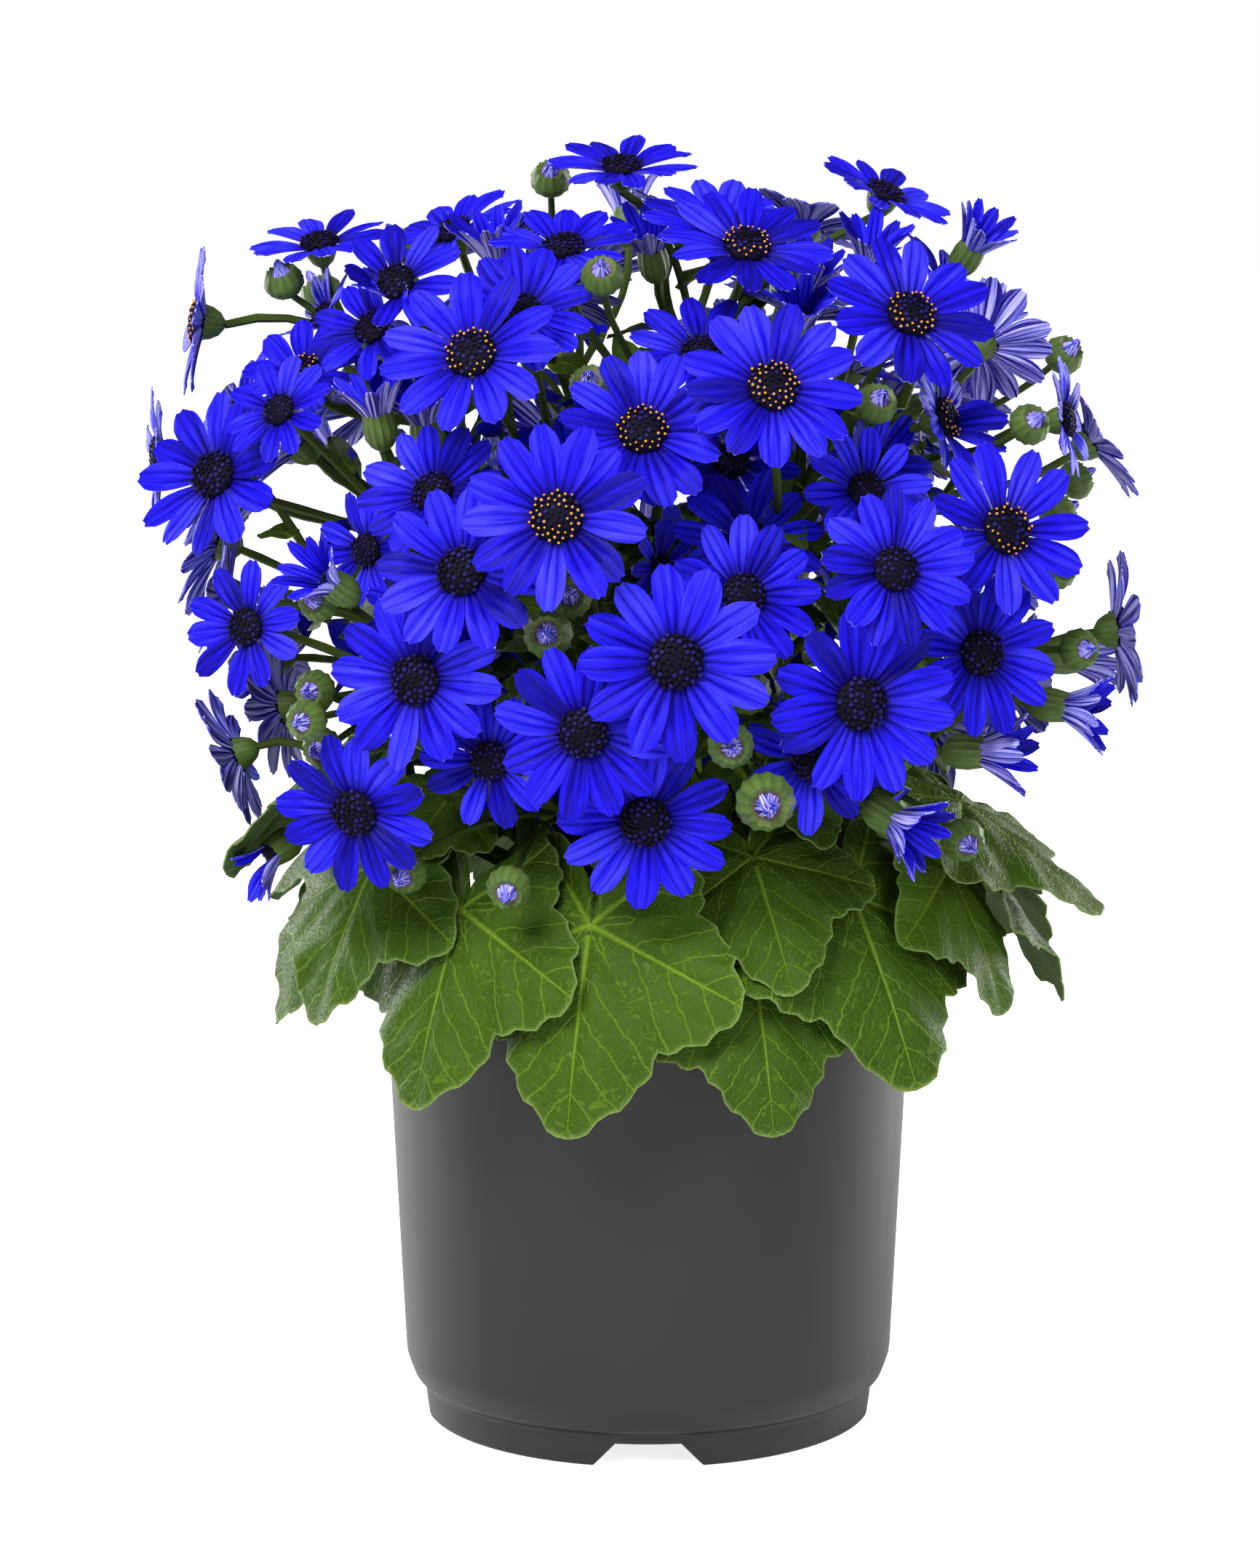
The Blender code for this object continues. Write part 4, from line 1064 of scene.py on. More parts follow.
def add_petal(bm, matrix, root, outward, lift, length, width, rng, roll_in):
    """One petal: a grid bent to its outline, with two grooves, an arch and a thin closed body."""
    settings = bpy.context.scene.cineraria_flowers
    uv, tones = layers_of(bm)
    tone = rng.random()
    arch = rng.uniform(-0.03, 0.16)
    twist = rng.uniform(-0.22, 0.22)
    swing = rng.uniform(-0.07, 0.07)
    made = bmesh.ops.create_grid(bm, x_segments=6, y_segments=6, size=0.5)["verts"]
    faces = list(faces_of(made))
    sideways = Vector((-outward.y, outward.x, 0))
    way = outward * math.cos(lift) + Vector((0, 0, math.sin(lift)))
    up = Vector((0, 0, math.cos(lift))) - outward * math.sin(lift)
    for face in faces:
        for loop in face.loops:
            flat = loop.vert.co
            loop[uv].uv = (flat.x + 0.5, flat.y + 0.5)
    for vert in made:
        across = 2 * vert.co.x
        along = vert.co.y + 0.5
        aside, run = petal_outline(across, along)
        aside *= width / 2
        fade = math.sin(math.pi * (0.12 + 0.80 * along))
        grooved = 0.045 * width * math.cos(3 * math.pi * across) * fade
        hollow = roll_in * width * across * across * (0.35 + 0.65 * math.sin(math.pi * along))
        rise = length * (arch * along - (arch + 0.07) * along * along)
        lean = twist * aside * along
        aside += swing * length * along * along
        local = root + way * run * length + sideways * aside + up * (grooved + hollow + rise + lean)
        vert.co = matrix @ local
    for face in faces:
        face.normal_update()
    face_up = matrix.to_3x3() @ up
    if sum((face.normal for face in faces), Vector()).dot(face_up) < 0:
        bmesh.ops.reverse_faces(bm, faces=faces)
    shell = bmesh.ops.solidify(bm, geom=faces, thickness=settings.petal_thickness)["geom"]
    new_faces = [part for part in shell if isinstance(part, bmesh.types.BMFace)]
    corners = {vert for face in faces + new_faces for vert in face.verts}
    for vert in corners:
        vert[tones] = tone
    for face in faces_of(corners):
        face.normal_update()
        face.material_index = PETAL if face.normal.dot(face_up) > -0.15 else BACK


def add_ribbed_cup(bm, matrix, rings, rib_depth, tone, tip_rise):
    """A green cup: rings of twice as many points as it has ribs, every other point drawn in."""
    uv, tones = layers_of(bm)
    sides = 2 * CUP_RIBS
    made = bmesh.ops.create_circle(bm, cap_ends=True, segments=sides, radius=1)["verts"]
    end = made[0].link_faces[0]
    levels = [list(end.verts)]
    faces = {end}
    for i in range(1, len(rings)):
        end = push_end(bm, end, i == 1)
        levels.append(list(end.verts))
        for vert in end.verts:
            vert.co.z = float(i)
    for level, (radius, height) in enumerate(rings):
        order = sorted(levels[level], key=lambda vert: math.atan2(vert.co.y, vert.co.x))
        share = level / (len(rings) - 1)
        for i, vert in enumerate(order):
            turn = i * math.tau / sides
            drawn = radius * (1 - rib_depth * (i % 2) * math.sin(math.pi * (0.15 + 0.8 * share)))
            rise = tip_rise * (1 - i % 2) if level == len(rings) - 2 else 0
            vert.co = Vector((math.cos(turn) * drawn, math.sin(turn) * drawn, height + rise))
            vert[tones] = tone
            for loop in vert.link_loops:
                seam = i == 0 and any(other is order[-1] for other in loop.face.verts)
                loop[uv].uv = (1.0 if seam else i / sides, share)
    for order in levels:
        for vert in order:
            faces |= set(vert.link_faces)
            vert.co = matrix @ vert.co
    faces = [face for face in faces if face.is_valid]
    for face in faces:
        face.material_index = CUP
    bmesh.ops.recalc_face_normals(bm, faces=faces)


def add_florets(bm, matrix, disc, rng, pollen):
    """The disc: a low dome of florets on a spiral, with pollen on this share of it from the rim in."""
    settings = bpy.context.scene.cineraria_flowers
    dome = bmesh.ops.create_icosphere(bm, subdivisions=2, radius=1)["verts"]
    height = 0.40 * disc
    squash = Matrix.Diagonal((disc * 0.98, disc * 0.98, height, 1))
    squash = Matrix.Translation((0, 0, 0.1 * MM)) @ squash
    for vert in dome:
        vert.co = matrix @ squash @ vert.co
    paint(dome, DISC)
    count = int(settings.florets * min(1.0, (disc / (8 * MM)) ** 1.4))
    for i in range(count):
        share = math.sqrt((i + 0.5) / count)
        turn = i * GOLDEN_ANGLE
        flat = level_way(turn) * disc * 0.94 * share
        level = height * math.sqrt(max(0.0, 1 - share * share * 0.93))
        lean = (flat * (0.5 / disc) + Vector((0, 0, 1))).normalized()
        size = disc * 0.086 * rng.uniform(0.80, 1.15)
        tall = size * (2.6 if share > 0.5 else 1.9)
        stand = matrix @ stand_at(flat + Vector((0, 0, level)), lean)
        made = bmesh.ops.create_cone(
            bm, cap_ends=True, segments=5, radius1=size * 0.62, radius2=size, depth=tall, matrix=stand
        )["verts"]
        violet = share > 0.30 and rng.random() < 0.55
        paint(made, FLORET if violet else DISC)
        if share > 1 - pollen and rng.random() < 0.85:
            knob = stand @ Matrix.Translation((0, 0, tall * 0.62))
            dust = bmesh.ops.create_icosphere(bm, subdivisions=1, radius=size * 0.62, matrix=knob)
            paint(dust["verts"], POLLEN)


def add_hairs(bm, points, radius, count, rng):
    """Short soft hairs that stand out of a stalk."""
    uv, _ = layers_of(bm)
    for _ in range(count):
        share = rng.uniform(0.05, 0.97) * (len(points) - 1)
        index = int(share)
        a = points[index]
        b = points[index + 1]
        way = (b - a).normalized()
        side = Matrix.Rotation(rng.uniform(0, math.tau), 3, way) @ way.orthogonal().normalized()
        place = a.lerp(b, share - index) + side * radius * 0.85
        lean = side + way * rng.uniform(-0.3, 0.5)
        length = rng.uniform(0.7, 1.3) * MM
        stand = stand_at(place, lean) @ Matrix.Translation((0, 0, length / 2))
        made = bmesh.ops.create_cone(
            bm,
            cap_ends=True,
            segments=3,
            radius1=HAIR_ROOT,
            radius2=HAIR_TIP,
            depth=length,
            matrix=stand,
        )["verts"]
        for face in faces_of(made):
            face.material_index = STEM
            for loop in face.loops:
                loop[uv].uv = (0.5, 0.5)


def petal_places(head, tree, rng, count, phase, wobble):
    """Each petal's number, way outward and lift, leaving out those in a hole of the solid."""
    lifts = petal_lifts(head, tree)
    for i in range(count):
        turn = (i + phase) * math.tau / count + rng.uniform(-wobble, wobble)
        lift = lift_at(lifts, turn)
        if lift is not None:
            yield i, level_way(turn), lift


def add_open_head(bm, head, tree, rng):
    """Petals in two overlapping ranks round a disc of florets, over a ribbed cup."""
    settings = bpy.context.scene.cineraria_flowers
    shape = head_shape(head)
    matrix = head_matrix(head)
    disc = shape["disc"] * 0.92
    large = head["diameter"] > SMALL_DIAMETER
    count = settings.petals + rng.choice((-1, 0, 1)) if large else settings.petals - 2
    for i, outward, lift in petal_places(head, tree, rng, count, rng.random(), 0.05):
        rank = i % 2
        root = outward * disc * 0.80 + Vector((0, 0, -0.5 * MM - 0.55 * MM * rank))
        length = (head["diameter"] / 2 - disc * 0.80) * rng.uniform(0.93, 1.02)
        width = head["diameter"] * settings.petal_share * rng.uniform(0.90, 1.10)
        tilt = lift + rng.uniform(-0.05, 0.05) - 0.03 * rank
        add_petal(bm, matrix, root, outward, tilt, length, width, rng, rng.uniform(0.02, 0.13))
    add_florets(bm, matrix, disc, rng, head["pollen"])
    rings = (
        (STALK_RADIUS * 1.05, -CUP_DEPTH),
        (disc * 0.52, -0.80 * CUP_DEPTH),
        (disc * 0.72, -0.50 * CUP_DEPTH),
        (disc * 0.84, -1.7 * MM),
        (disc * 0.60, -1.2 * MM),
    )
    add_ribbed_cup(bm, matrix, rings, 0.10, rng.random(), 0.9 * MM)


def add_half_head(bm, head, tree, rng):
    """A head that is opening: upright straps with pale backs in a deep green cup."""
    settings = bpy.context.scene.cineraria_flowers
    shape = head_shape(head)
    matrix = head_matrix(head)
    disc = shape["disc"]
    for i, outward, lift in petal_places(head, tree, rng, settings.half_petals, 0, 0.08):
        root = outward * disc * (0.78 - 0.10 * (i % 2)) + Vector((0, 0, -1.0 * MM))
        length = shape["length"] * rng.uniform(0.80, 1.02)
        width = head["diameter"] * 0.135 * rng.uniform(0.85, 1.1)
        tilt = lift + rng.uniform(-0.06, 0.10)
        add_petal(bm, matrix, root, outward, tilt, length, width, rng, rng.uniform(0.20, 0.38))
    add_florets(bm, matrix, disc * 0.85, rng, 0.0)
    rings = (
        (STALK_RADIUS * 1.05, -HALF_CUP_DEPTH),
        (disc * 0.80, -0.86 * HALF_CUP_DEPTH),
        (disc * 1.12, -0.62 * HALF_CUP_DEPTH),
        (disc * 1.16, -0.32 * HALF_CUP_DEPTH),
        (disc * 0.98, 0.2 * MM),
        (disc * 0.70, -0.6 * MM),
    )
    add_ribbed_cup(bm, matrix, rings, 0.10, rng.random(), 0.8 * MM)


def add_bud(bm, head, rng):
    """A closed bud: a round ribbed cup with folded, striped petals at its mouth."""
    radius = head["diameter"] / 2
    matrix = head_matrix(head)
    rings = (
        (STALK_RADIUS * 1.05, -0.56 * radius),
        (0.62 * radius, -0.45 * radius),
        (0.92 * radius, -0.12 * radius),
        (0.98 * radius, 0.28 * radius),
        (0.68 * radius, 0.76 * radius),
        (0.42 * radius, 0.66 * radius),
    )
    add_ribbed_cup(bm, matrix, rings, 0.08, rng.random(), 0.10 * radius)
    for i in range(BUD_PETALS):
        turn = i * math.tau / BUD_PETALS + rng.uniform(-0.1, 0.1)
        outward = level_way(turn)
        root = outward * 0.50 * radius + Vector((0, 0, 0.46 * radius))
        length = 1.02 * radius * rng.uniform(0.94, 1.05)
        add_petal(bm, matrix, root, outward, BUD_LIFT, length, 0.36 * radius, rng, 0.30)


def add_small_leaf(bm, point, way, length, rng):
    """A small narrow leaf on a spray's stem."""
    uv, tones = layers_of(bm)
    tone = rng.uniform(0.1, 0.7)
    side = Matrix.Rotation(rng.uniform(0, math.tau), 3, way) @ way.orthogonal().normalized()
    along = (way * 0.7 + side).normalized()
    across = along.cross(way).normalized()
    up = across.cross(along).normalized()
    made = bmesh.ops.create_grid(bm, x_segments=4, y_segments=6, size=0.5)["verts"]
    faces = list(faces_of(made))
    for face in faces:
        for loop in face.loops:
            flat = loop.vert.co
            loop[uv].uv = (0.5 + 0.16 * flat.x * (flat.y + 0.5), flat.y + 0.5)
    for vert in made:
        aside = 2 * vert.co.x
        run = vert.co.y + 0.5
        broad = length * 0.27 * math.sin(math.pi * (0.12 + 0.86 * run)) ** 0.9
        wave = 0.05 * length * math.sin(9 * run + 3 * aside) * abs(aside)
        fold = 0.12 * length * abs(aside) * (1 - run) - 0.30 * length * run * run
        vert.co = point + along * run * length + across * aside * broad + up * (fold + wave)
        vert[tones] = tone
    bmesh.ops.solidify(bm, geom=faces, thickness=0.4 * MM)
    paint(made, BLADE)
    bmesh.ops.recalc_face_normals(bm, faces=list(faces_of(made)))


def make_spray(index, group, materials):
    """One spray: its stem, stalks, heads, buds and small leaves."""
    name = f"spray_{index + 1:02d}"
    rng = random.Random(SEED + index)
    tree = tree_of(name)
    bm = start_bmesh()
    stem = nearest_route([spray_route(group, swing) for swing in SPRAY_SWINGS], tree)
    points = arc_points(stem, STEM_STEPS)
    radii = [SPRAY_STEM_RADIUS * (1.0 - 0.30 * i / STEM_STEPS) for i in range(STEM_STEPS + 1)]
    tube(bm, points, radii, 8, STEM, rng.random())
    add_hairs(bm, points, SPRAY_STEM_RADIUS * 0.8, STEM_HAIRS, rng)
    bends = [(0.0, 0.0)] + [(i * math.tau / 6, reach) for reach in (0.5, 1.0, 1.6) for i in range(6)]
    for number, head in enumerate(group):
        routes = [stalk_route(head, number, stem, bend) for bend in bends]
        route = nearest_route(routes, tree)
        points = arc_points(route, STALK_STEPS)
        thin = STALK_RADIUS * (0.80 if head["stage"] == "bud" else 1.0)
        radii = [thin * (1.0 + 0.12 * (i % 2 == 0)) for i in range(STALK_STEPS + 1)]
        tube(bm, points, radii, 6, STEM, rng.random())
        add_hairs(bm, points, thin, STALK_HAIRS, rng)
        place = arc_point(route, 0.42)
        way = (arc_point(route, 0.5) - place).normalized()
        add_small_leaf(bm, place, way, rng.uniform(14, 24) * MM, rng)
        if head["stage"] == "open":
            add_open_head(bm, head, tree, rng)
        elif head["stage"] == "half":
            add_half_head(bm, head, tree, rng)
        else:
            add_bud(bm, head, rng)
    for share in SMALL_LEAF_PLACES:
        place = arc_point(stem, share)
        way = (arc_point(stem, share) - arc_point(stem, share - 0.05)).normalized()
        add_small_leaf(bm, place, way, rng.uniform(20, 36) * MM, rng)
    finish_piece(name + "_flowers", bm, materials, name, 50)


def lobe_share(lobe):
    """The length of a lobe over that of the middle one."""
    return 1 - LOBE_LOSS * (abs(lobe) / 2) ** 1.3


def leaf_reach(turn, length):
    """How far a leaf's edge lies from the blade's root at this turn, with its lobes and teeth."""
    lobe = max(-2, min(2, round(turn / LOBE_STEP)))
    own = length * lobe_share(lobe)
    offset = abs(turn - lobe * LOBE_STEP) / (LOBE_STEP / 2)
    beside = max(-2, min(2, lobe + (1 if turn > lobe * LOBE_STEP else -1)))
    other = length * lobe_share(beside)
    blend = own + (other - own) * min(offset, 1.0) * 0.5
    tooth = TOOTH_HEIGHT * (1 - abs(2 * ((offset * 3.0) % 1.0) - 1))
    reach = blend * (1 - LOBE_NOTCH * min(offset, 1.0) ** 1.05 + tooth)
    if abs(turn) > STALK_NOTCH:
        share = (abs(turn) - STALK_NOTCH) / (math.pi - STALK_NOTCH)
        reach = reach * (1 - share) ** 1.2 + length * 0.10 * share
    return reach


def leaf_frame(row, shift, roll, lift):
    """The root of a blade and its three directions."""
    turn, distance, height, _, droop, swing = row
    out = toward(turn + shift, 0)
    root = out * distance * MM + Vector((0, 0, (height + lift) * MM))
    along = toward(turn + shift + swing, -droop)
    across = Vector((0, 0, 1)).cross(along).normalized()
    across = Matrix.Rotation(math.radians(roll), 3, along) @ across
    return out, root, along, across, along.cross(across)


def blade_point(root, along, across, up, length, turn, reach):
    """A point of a blade, which sags towards its tip and sides."""
    ahead = math.cos(turn) * reach
    aside = math.sin(turn) * reach
    sag = 0.16 * reach * reach / length + 0.10 * abs(aside)
    return root + along * ahead + across * aside - up * sag


def fitted_leaf(row, tree):
    """Which shift, lift and roll this leaf's solid was given, read from its lobes' tips."""
    length = row[3] * MM
    found = []
    for shift in LEAF_SHIFTS:
        for lift in LEAF_LIFTS:
            for roll in LEAF_ROLLS:
                _, root, along, across, up = leaf_frame(row, shift, roll, lift)
                gap = 0
                for lobe in range(-2, 3):
                    turn = lobe * LOBE_STEP
                    reach = length * lobe_share(lobe)
                    gap += gap_to(tree, blade_point(root, along, across, up, length, turn, reach))
                found.append((gap, shift, lift, roll))
    return min(found)[1:]


def make_leaf(index, row, materials):
    """One leaf: a lobed, toothed and gently quilted blade on its stalk."""
    settings = bpy.context.scene.cineraria_leaves
    name = f"leaf_{index + 1:02d}"
    rng = random.Random(SEED * 7 + index)
    shift, lift, roll = fitted_leaf(row, tree_of(name))
    out, root, along, across, up = leaf_frame(row, shift, roll, lift)
    length = row[3] * MM
    bm = start_bmesh()
    uv, tones = layers_of(bm)
    rims = bm.verts.layers.float["rim"]
    tone = rng.choice((0.15, 0.3, 0.5, 0.9))
    wave = rng.uniform(0, math.tau)
    bmesh.ops.create_grid(bm, x_segments=settings.spokes, y_segments=settings.rings, size=0.5)
    for face in bm.faces:
        for loop in face.loops:
            flat = loop.vert.co
            turn = flat.x * LEAF_SWEEP
            reach = leaf_reach(turn, 1.0) * (flat.y + 0.5)
            loop[uv].uv = (turn / math.tau + 0.5, reach)
    for vert in bm.verts:
        turn = vert.co.x * LEAF_SWEEP
        share = vert.co.y + 0.5
        reach = leaf_reach(turn, length) * share
        own = turn - round(turn / LOBE_STEP) * LOBE_STEP
        aside = reach * abs(math.sin(own))
        quilt = -1.3 * MM * math.exp(-((aside / (2.2 * MM)) ** 2)) * min(1, share * 3)
        puff = 0.55 * MM * math.sin((reach - 1.15 * aside) / (2.4 * MM)) * min(1, aside / (5 * MM))
        curl = length * share**3 * (0.030 * math.sin(5 * turn + wave) + 0.022 * math.sin(11 * turn))
        place = blade_point(root, along, across, up, length, turn, reach)
        vert.co = place + up * (quilt + puff + curl + 0.2 * MM)
        vert[rims] = 1.0 if share > 0.999 else 0.0
    bmesh.ops.remove_doubles(bm, verts=bm.verts, dist=MERGE)
    bm.normal_update()
    if sum((face.normal for face in bm.faces), Vector()).dot(up) < 0:
        bmesh.ops.reverse_faces(bm, faces=bm.faces)
    bm.normal_update()
    top = set(bm.faces)
    bmesh.ops.solidify(bm, geom=list(bm.faces), thickness=settings.thickness)
    bm.normal_update()
    for face in bm.faces:
        face.material_index = BLADE if face in top or face.normal.dot(up) > 0.1 else UNDERSIDE
    for vert in bm.verts:
        vert[tones] = tone
    start_height = SOIL_TOP + 4 * MM + 0.25 * (row[2] * MM - SOIL_TOP)
    start = out * (main_stem_radius(start_height) + 3 * TOUCH_GAP + 0.8 * MM)
    start.z = start_height
    end = root + along * 3 * MM - up * 1.2 * LEAF_THICKNESS
    leave = (out + Vector((0, 0, 0.6))).normalized()
    route = arc_ends(start, leave, end, along)
    points = arc_points(route, STEM_STEPS)
    radii = [(2.1 - 0.8 * i / STEM_STEPS) * MM for i in range(STEM_STEPS + 1)]
    tube(bm, points, radii, 8, STEM, rng.random())
    add_hairs(bm, points, 1.7 * MM, LEAF_STALK_HAIRS, rng)
    finish_piece(name + "_blade", bm, materials, name, 70)


def spin_profile(bm, profile, steps):
    """Turns (radius, height) corners that start and end on the axis into a closed solid."""
    corners = [bm.verts.new((radius, 0, height)) for radius, height in profile]
    edges = [bm.edges.new(pair) for pair in zip(corners, corners[1:])]
    bmesh.ops.spin(
        bm,
        geom=corners + edges,
        axis=(0, 0, 1),
        cent=(0, 0, 0),
        angle=math.tau,
        steps=steps,
        use_merge=True,
    )
    bmesh.ops.remove_doubles(bm, verts=bm.verts, dist=MERGE)
    bmesh.ops.recalc_face_normals(bm, faces=bm.faces)


def rounded(profile, radius, steps=3):
    """The same corners with each inner one rounded by a short arc."""
    result = [profile[0]]
    for before, corner, after in zip(profile, profile[1:], profile[2:]):
        here = Vector(corner)
        to_before = Vector(before) - here
        to_after = Vector(after) - here
        cut = min(radius, 0.4 * to_before.length, 0.4 * to_after.length)
        start = here + to_before.normalized() * cut
        end = here + to_after.normalized() * cut
        for i in range(steps + 1):
            t = i / steps
            point = (1 - t) ** 2 * start + 2 * t * (1 - t) * here + t * t * end
            result.append((point.x, point.y))
    result.append(profile[-1])
    return result


def body_radius(height):
    """The outer radius of the pot's flared wall."""
    share = (height - POT_BODY_LOW) / (POT_HEIGHT - POT_BODY_LOW)
    return POT_BODY_LOW_RADIUS + share * (POT_BODY_TOP_RADIUS - POT_BODY_LOW_RADIUS)


def pot_cutters():
    """The notches of the foot ring and the drain holes, as one mesh."""
    bm = bmesh.new()
    corners = (
        (-NOTCH_BOTTOM / 2, -MM),
        (NOTCH_BOTTOM / 2, -MM),
        (NOTCH_BOTTOM / 2, 0),
        (NOTCH_TOP / 2, NOTCH_HEIGHT),
        (-NOTCH_TOP / 2, NOTCH_HEIGHT),
        (-NOTCH_BOTTOM / 2, 0),
    )
    for i in range(NOTCH_COUNT):
        outline = [bm.verts.new((x, -FOOT_RADIUS - 2 * FOOT_WIDTH, z)) for x, z in corners]
        face = bm.faces.new(outline)
        pushed = bmesh.ops.extrude_face_region(bm, geom=[face])["geom"]
        moved = [part for part in pushed if isinstance(part, bmesh.types.BMVert)]
        bmesh.ops.translate(bm, verts=moved, vec=(0, 4 * FOOT_WIDTH, 0))
        spin = Matrix.Rotation(i * math.tau / NOTCH_COUNT, 3, "Z")
        bmesh.ops.rotate(bm, verts=outline + moved, cent=(0, 0, 0), matrix=spin)
    for i in range(DRAIN_COUNT):
        turn = (i + 0.5) * math.tau / DRAIN_COUNT
        place = Matrix.Rotation(turn, 3, "Z") @ Vector((DRAIN_RING_RADIUS, 0, FOOT_HEIGHT))
        bmesh.ops.create_cone(
            bm,
            cap_ends=True,
            segments=24,
            radius1=DRAIN_RADIUS,
            radius2=DRAIN_RADIUS,
            depth=4 * FLOOR_THICKNESS,
            matrix=Matrix.Translation(place),
        )
    bmesh.ops.recalc_face_normals(bm, faces=bm.faces)
    mesh = bpy.data.meshes.new("pot_cutters")
    bm.to_mesh(mesh)
    bm.free()
    cutters = bpy.data.objects.new("pot_cutters", mesh)
    bpy.context.scene.collection.objects.link(cutters)
    return cutters


class MakePot(bpy.types.Operator):
    """Moulded pot with a rim band, a rounded lower edge and a notched foot ring"""

    bl_idname = "cineraria.make_pot"
    bl_label = "Pot"

    def execute(self, context):
        settings = context.scene.cineraria_pot
        floor_low = FOOT_HEIGHT - FLOOR_THICKNESS / 2
        floor_top = floor_low + FLOOR_THICKNESS
        band_low = POT_HEIGHT - POT_BAND_HEIGHT
        profile = (
            (0, floor_low),
            (FOOT_RADIUS - FOOT_WIDTH, floor_low),
            (FOOT_RADIUS - FOOT_WIDTH, 0),
            (FOOT_RADIUS, 0),
            (FOOT_RADIUS + 0.4 * MM, FOOT_HEIGHT),
            (FOOT_RADIUS + 3.4 * MM, FOOT_HEIGHT + 2 * MM),
            (POT_BODY_LOW_RADIUS, POT_BODY_LOW),
            (body_radius(band_low), band_low),
            (POT_RIM_RADIUS, band_low + MM),
            (POT_RIM_RADIUS, POT_HEIGHT),
            (body_radius(POT_HEIGHT) - POT_WALL, POT_HEIGHT),
            (POT_BODY_LOW_RADIUS - POT_WALL, POT_BODY_LOW),
            (FOOT_RADIUS - FOOT_WIDTH, floor_top),
            (0, floor_top),
        )
        bm = bmesh.new()
        soft = rounded(rounded(profile, 3 * settings.edge, 4), settings.edge, 2)
        spin_profile(bm, soft, settings.sides)
        pot = finish_piece("pot_moulded", bm, [pot_material(settings)], "pot", 30)
        cutters = pot_cutters()
        cut = pot.modifiers.new("notches", "BOOLEAN")
        cut.operation = "DIFFERENCE"
        cut.object = cutters
        bpy.context.view_layer.update()
        graph = bpy.context.evaluated_depsgraph_get()
        mesh = bpy.data.meshes.new_from_object(pot.evaluated_get(graph))
        pot.modifiers.clear()
        pot.data = mesh
        bpy.data.objects.remove(cutters, do_unlink=True)
        mesh.shade_smooth()
        mesh.set_sharp_from_angle(angle=math.radians(30))
        return {"FINISHED"}


class MakeSoil(bpy.types.Operator):
    """Potting mix with an uneven top and loose crumbs"""

    bl_idname = "cineraria.make_soil"
    bl_label = "Soil"

    def execute(self, context):
        settings = context.scene.cineraria_pot
        rng = random.Random(SEED)
        floor_top = FOOT_HEIGHT + FLOOR_THICKNESS / 2 + TOUCH_GAP
        low = FOOT_RADIUS - FOOT_WIDTH - TOUCH_GAP - MM
        mid = POT_BODY_LOW_RADIUS - POT_WALL - 3 * TOUCH_GAP
        top = body_radius(SOIL_TOP) - POT_WALL - 3 * TOUCH_GAP
        hole = MAIN_STEM_LOW_RADIUS + 2 * TOUCH_GAP
        level = SOIL_TOP - 1.5 * MM
        profile = [(0, floor_top), (low, floor_top), (mid, POT_BODY_LOW + MM), (top, level)]
        profile += [(top + (hole - top) * i / SOIL_RINGS, level) for i in range(1, SOIL_RINGS + 1)]
        profile += [(hole, SOIL_TOP - STEM_HOLE_DEPTH), (0, SOIL_TOP - STEM_HOLE_DEPTH)]
        bm = bmesh.new()
        spin_profile(bm, profile, SOIL_SIDES)
        for vert in bm.verts:
            spread = math.hypot(vert.co.x, vert.co.y)
            if vert.co.z > SOIL_TOP - 3 * MM and hole + MM < spread < top - MM:
                lumps = noise.noise(vert.co * 190) * 1.3 + noise.noise(vert.co * 520) * 0.8
                vert.co.z += min(lumps, 1.4) * MM
        for _ in range(settings.crumbs):
            spread = (hole + 2 * MM) + (top - hole - 5 * MM) * math.sqrt(rng.random())
            turn = rng.uniform(0, math.tau)
            size = rng.uniform(0.5, 1.9) * MM
            place = Vector((spread, 0, SOIL_TOP - 1.2 * MM + 0.3 * size))
            place = Matrix.Rotation(turn, 3, "Z") @ place
            stretch = Matrix.Diagonal((1, rng.uniform(0.5, 1), rng.uniform(0.4, 0.8), 1))
            stand = Matrix.Translation(place) @ Matrix.Rotation(turn * 3, 4, "Z") @ stretch
            bmesh.ops.create_icosphere(bm, subdivisions=1, radius=size, matrix=stand)
        finish_piece("soil_mix", bm, [soil_material(settings)], "soil", 50)
        return {"FINISHED"}


class MakeMainStem(bpy.types.Operator):
    """The short thick stem that everything grows from"""

    bl_idname = "cineraria.make_main_stem"
    bl_label = "Main stem"

    def execute(self, context):
        materials = flower_materials()
        rng = random.Random(SEED)
        low = SOIL_TOP - STEM_HOLE_DEPTH + TOUCH_GAP
        rise = (MAIN_STEM_TOP - low) / MAIN_STEM_STEPS
        points = [Vector((0, 0, low + rise * i)) for i in range(MAIN_STEM_STEPS + 1)]
        radii = []
        for i, point in enumerate(points):
            swell = 1 + 0.05 * math.cos(i * math.tau / 4)
            radii.append(min(main_stem_radius(point.z), MAIN_STEM_LOW_RADIUS) * (swell - 0.05))
        bm = start_bmesh()
        tube(bm, points, radii, 16, STEM, 0.4)
        add_hairs(bm, points[6:], MAIN_STEM_TOP_RADIUS, MAIN_STEM_HAIRS, rng)
        finish_piece("main_stem_ridged", bm, materials, "main_stem", 50)
        return {"FINISHED"}


class MakeLeaves(bpy.types.Operator):
    """Lobed leaves with veins, teeth and hairy stalks"""

    bl_idname = "cineraria.make_leaves"
    bl_label = "Leaves"

    def execute(self, context):
        materials = flower_materials()
        for index, row in enumerate(OUTER_LEAVES + INNER_LEAVES):
            make_leaf(index, row, materials)
        return {"FINISHED"}


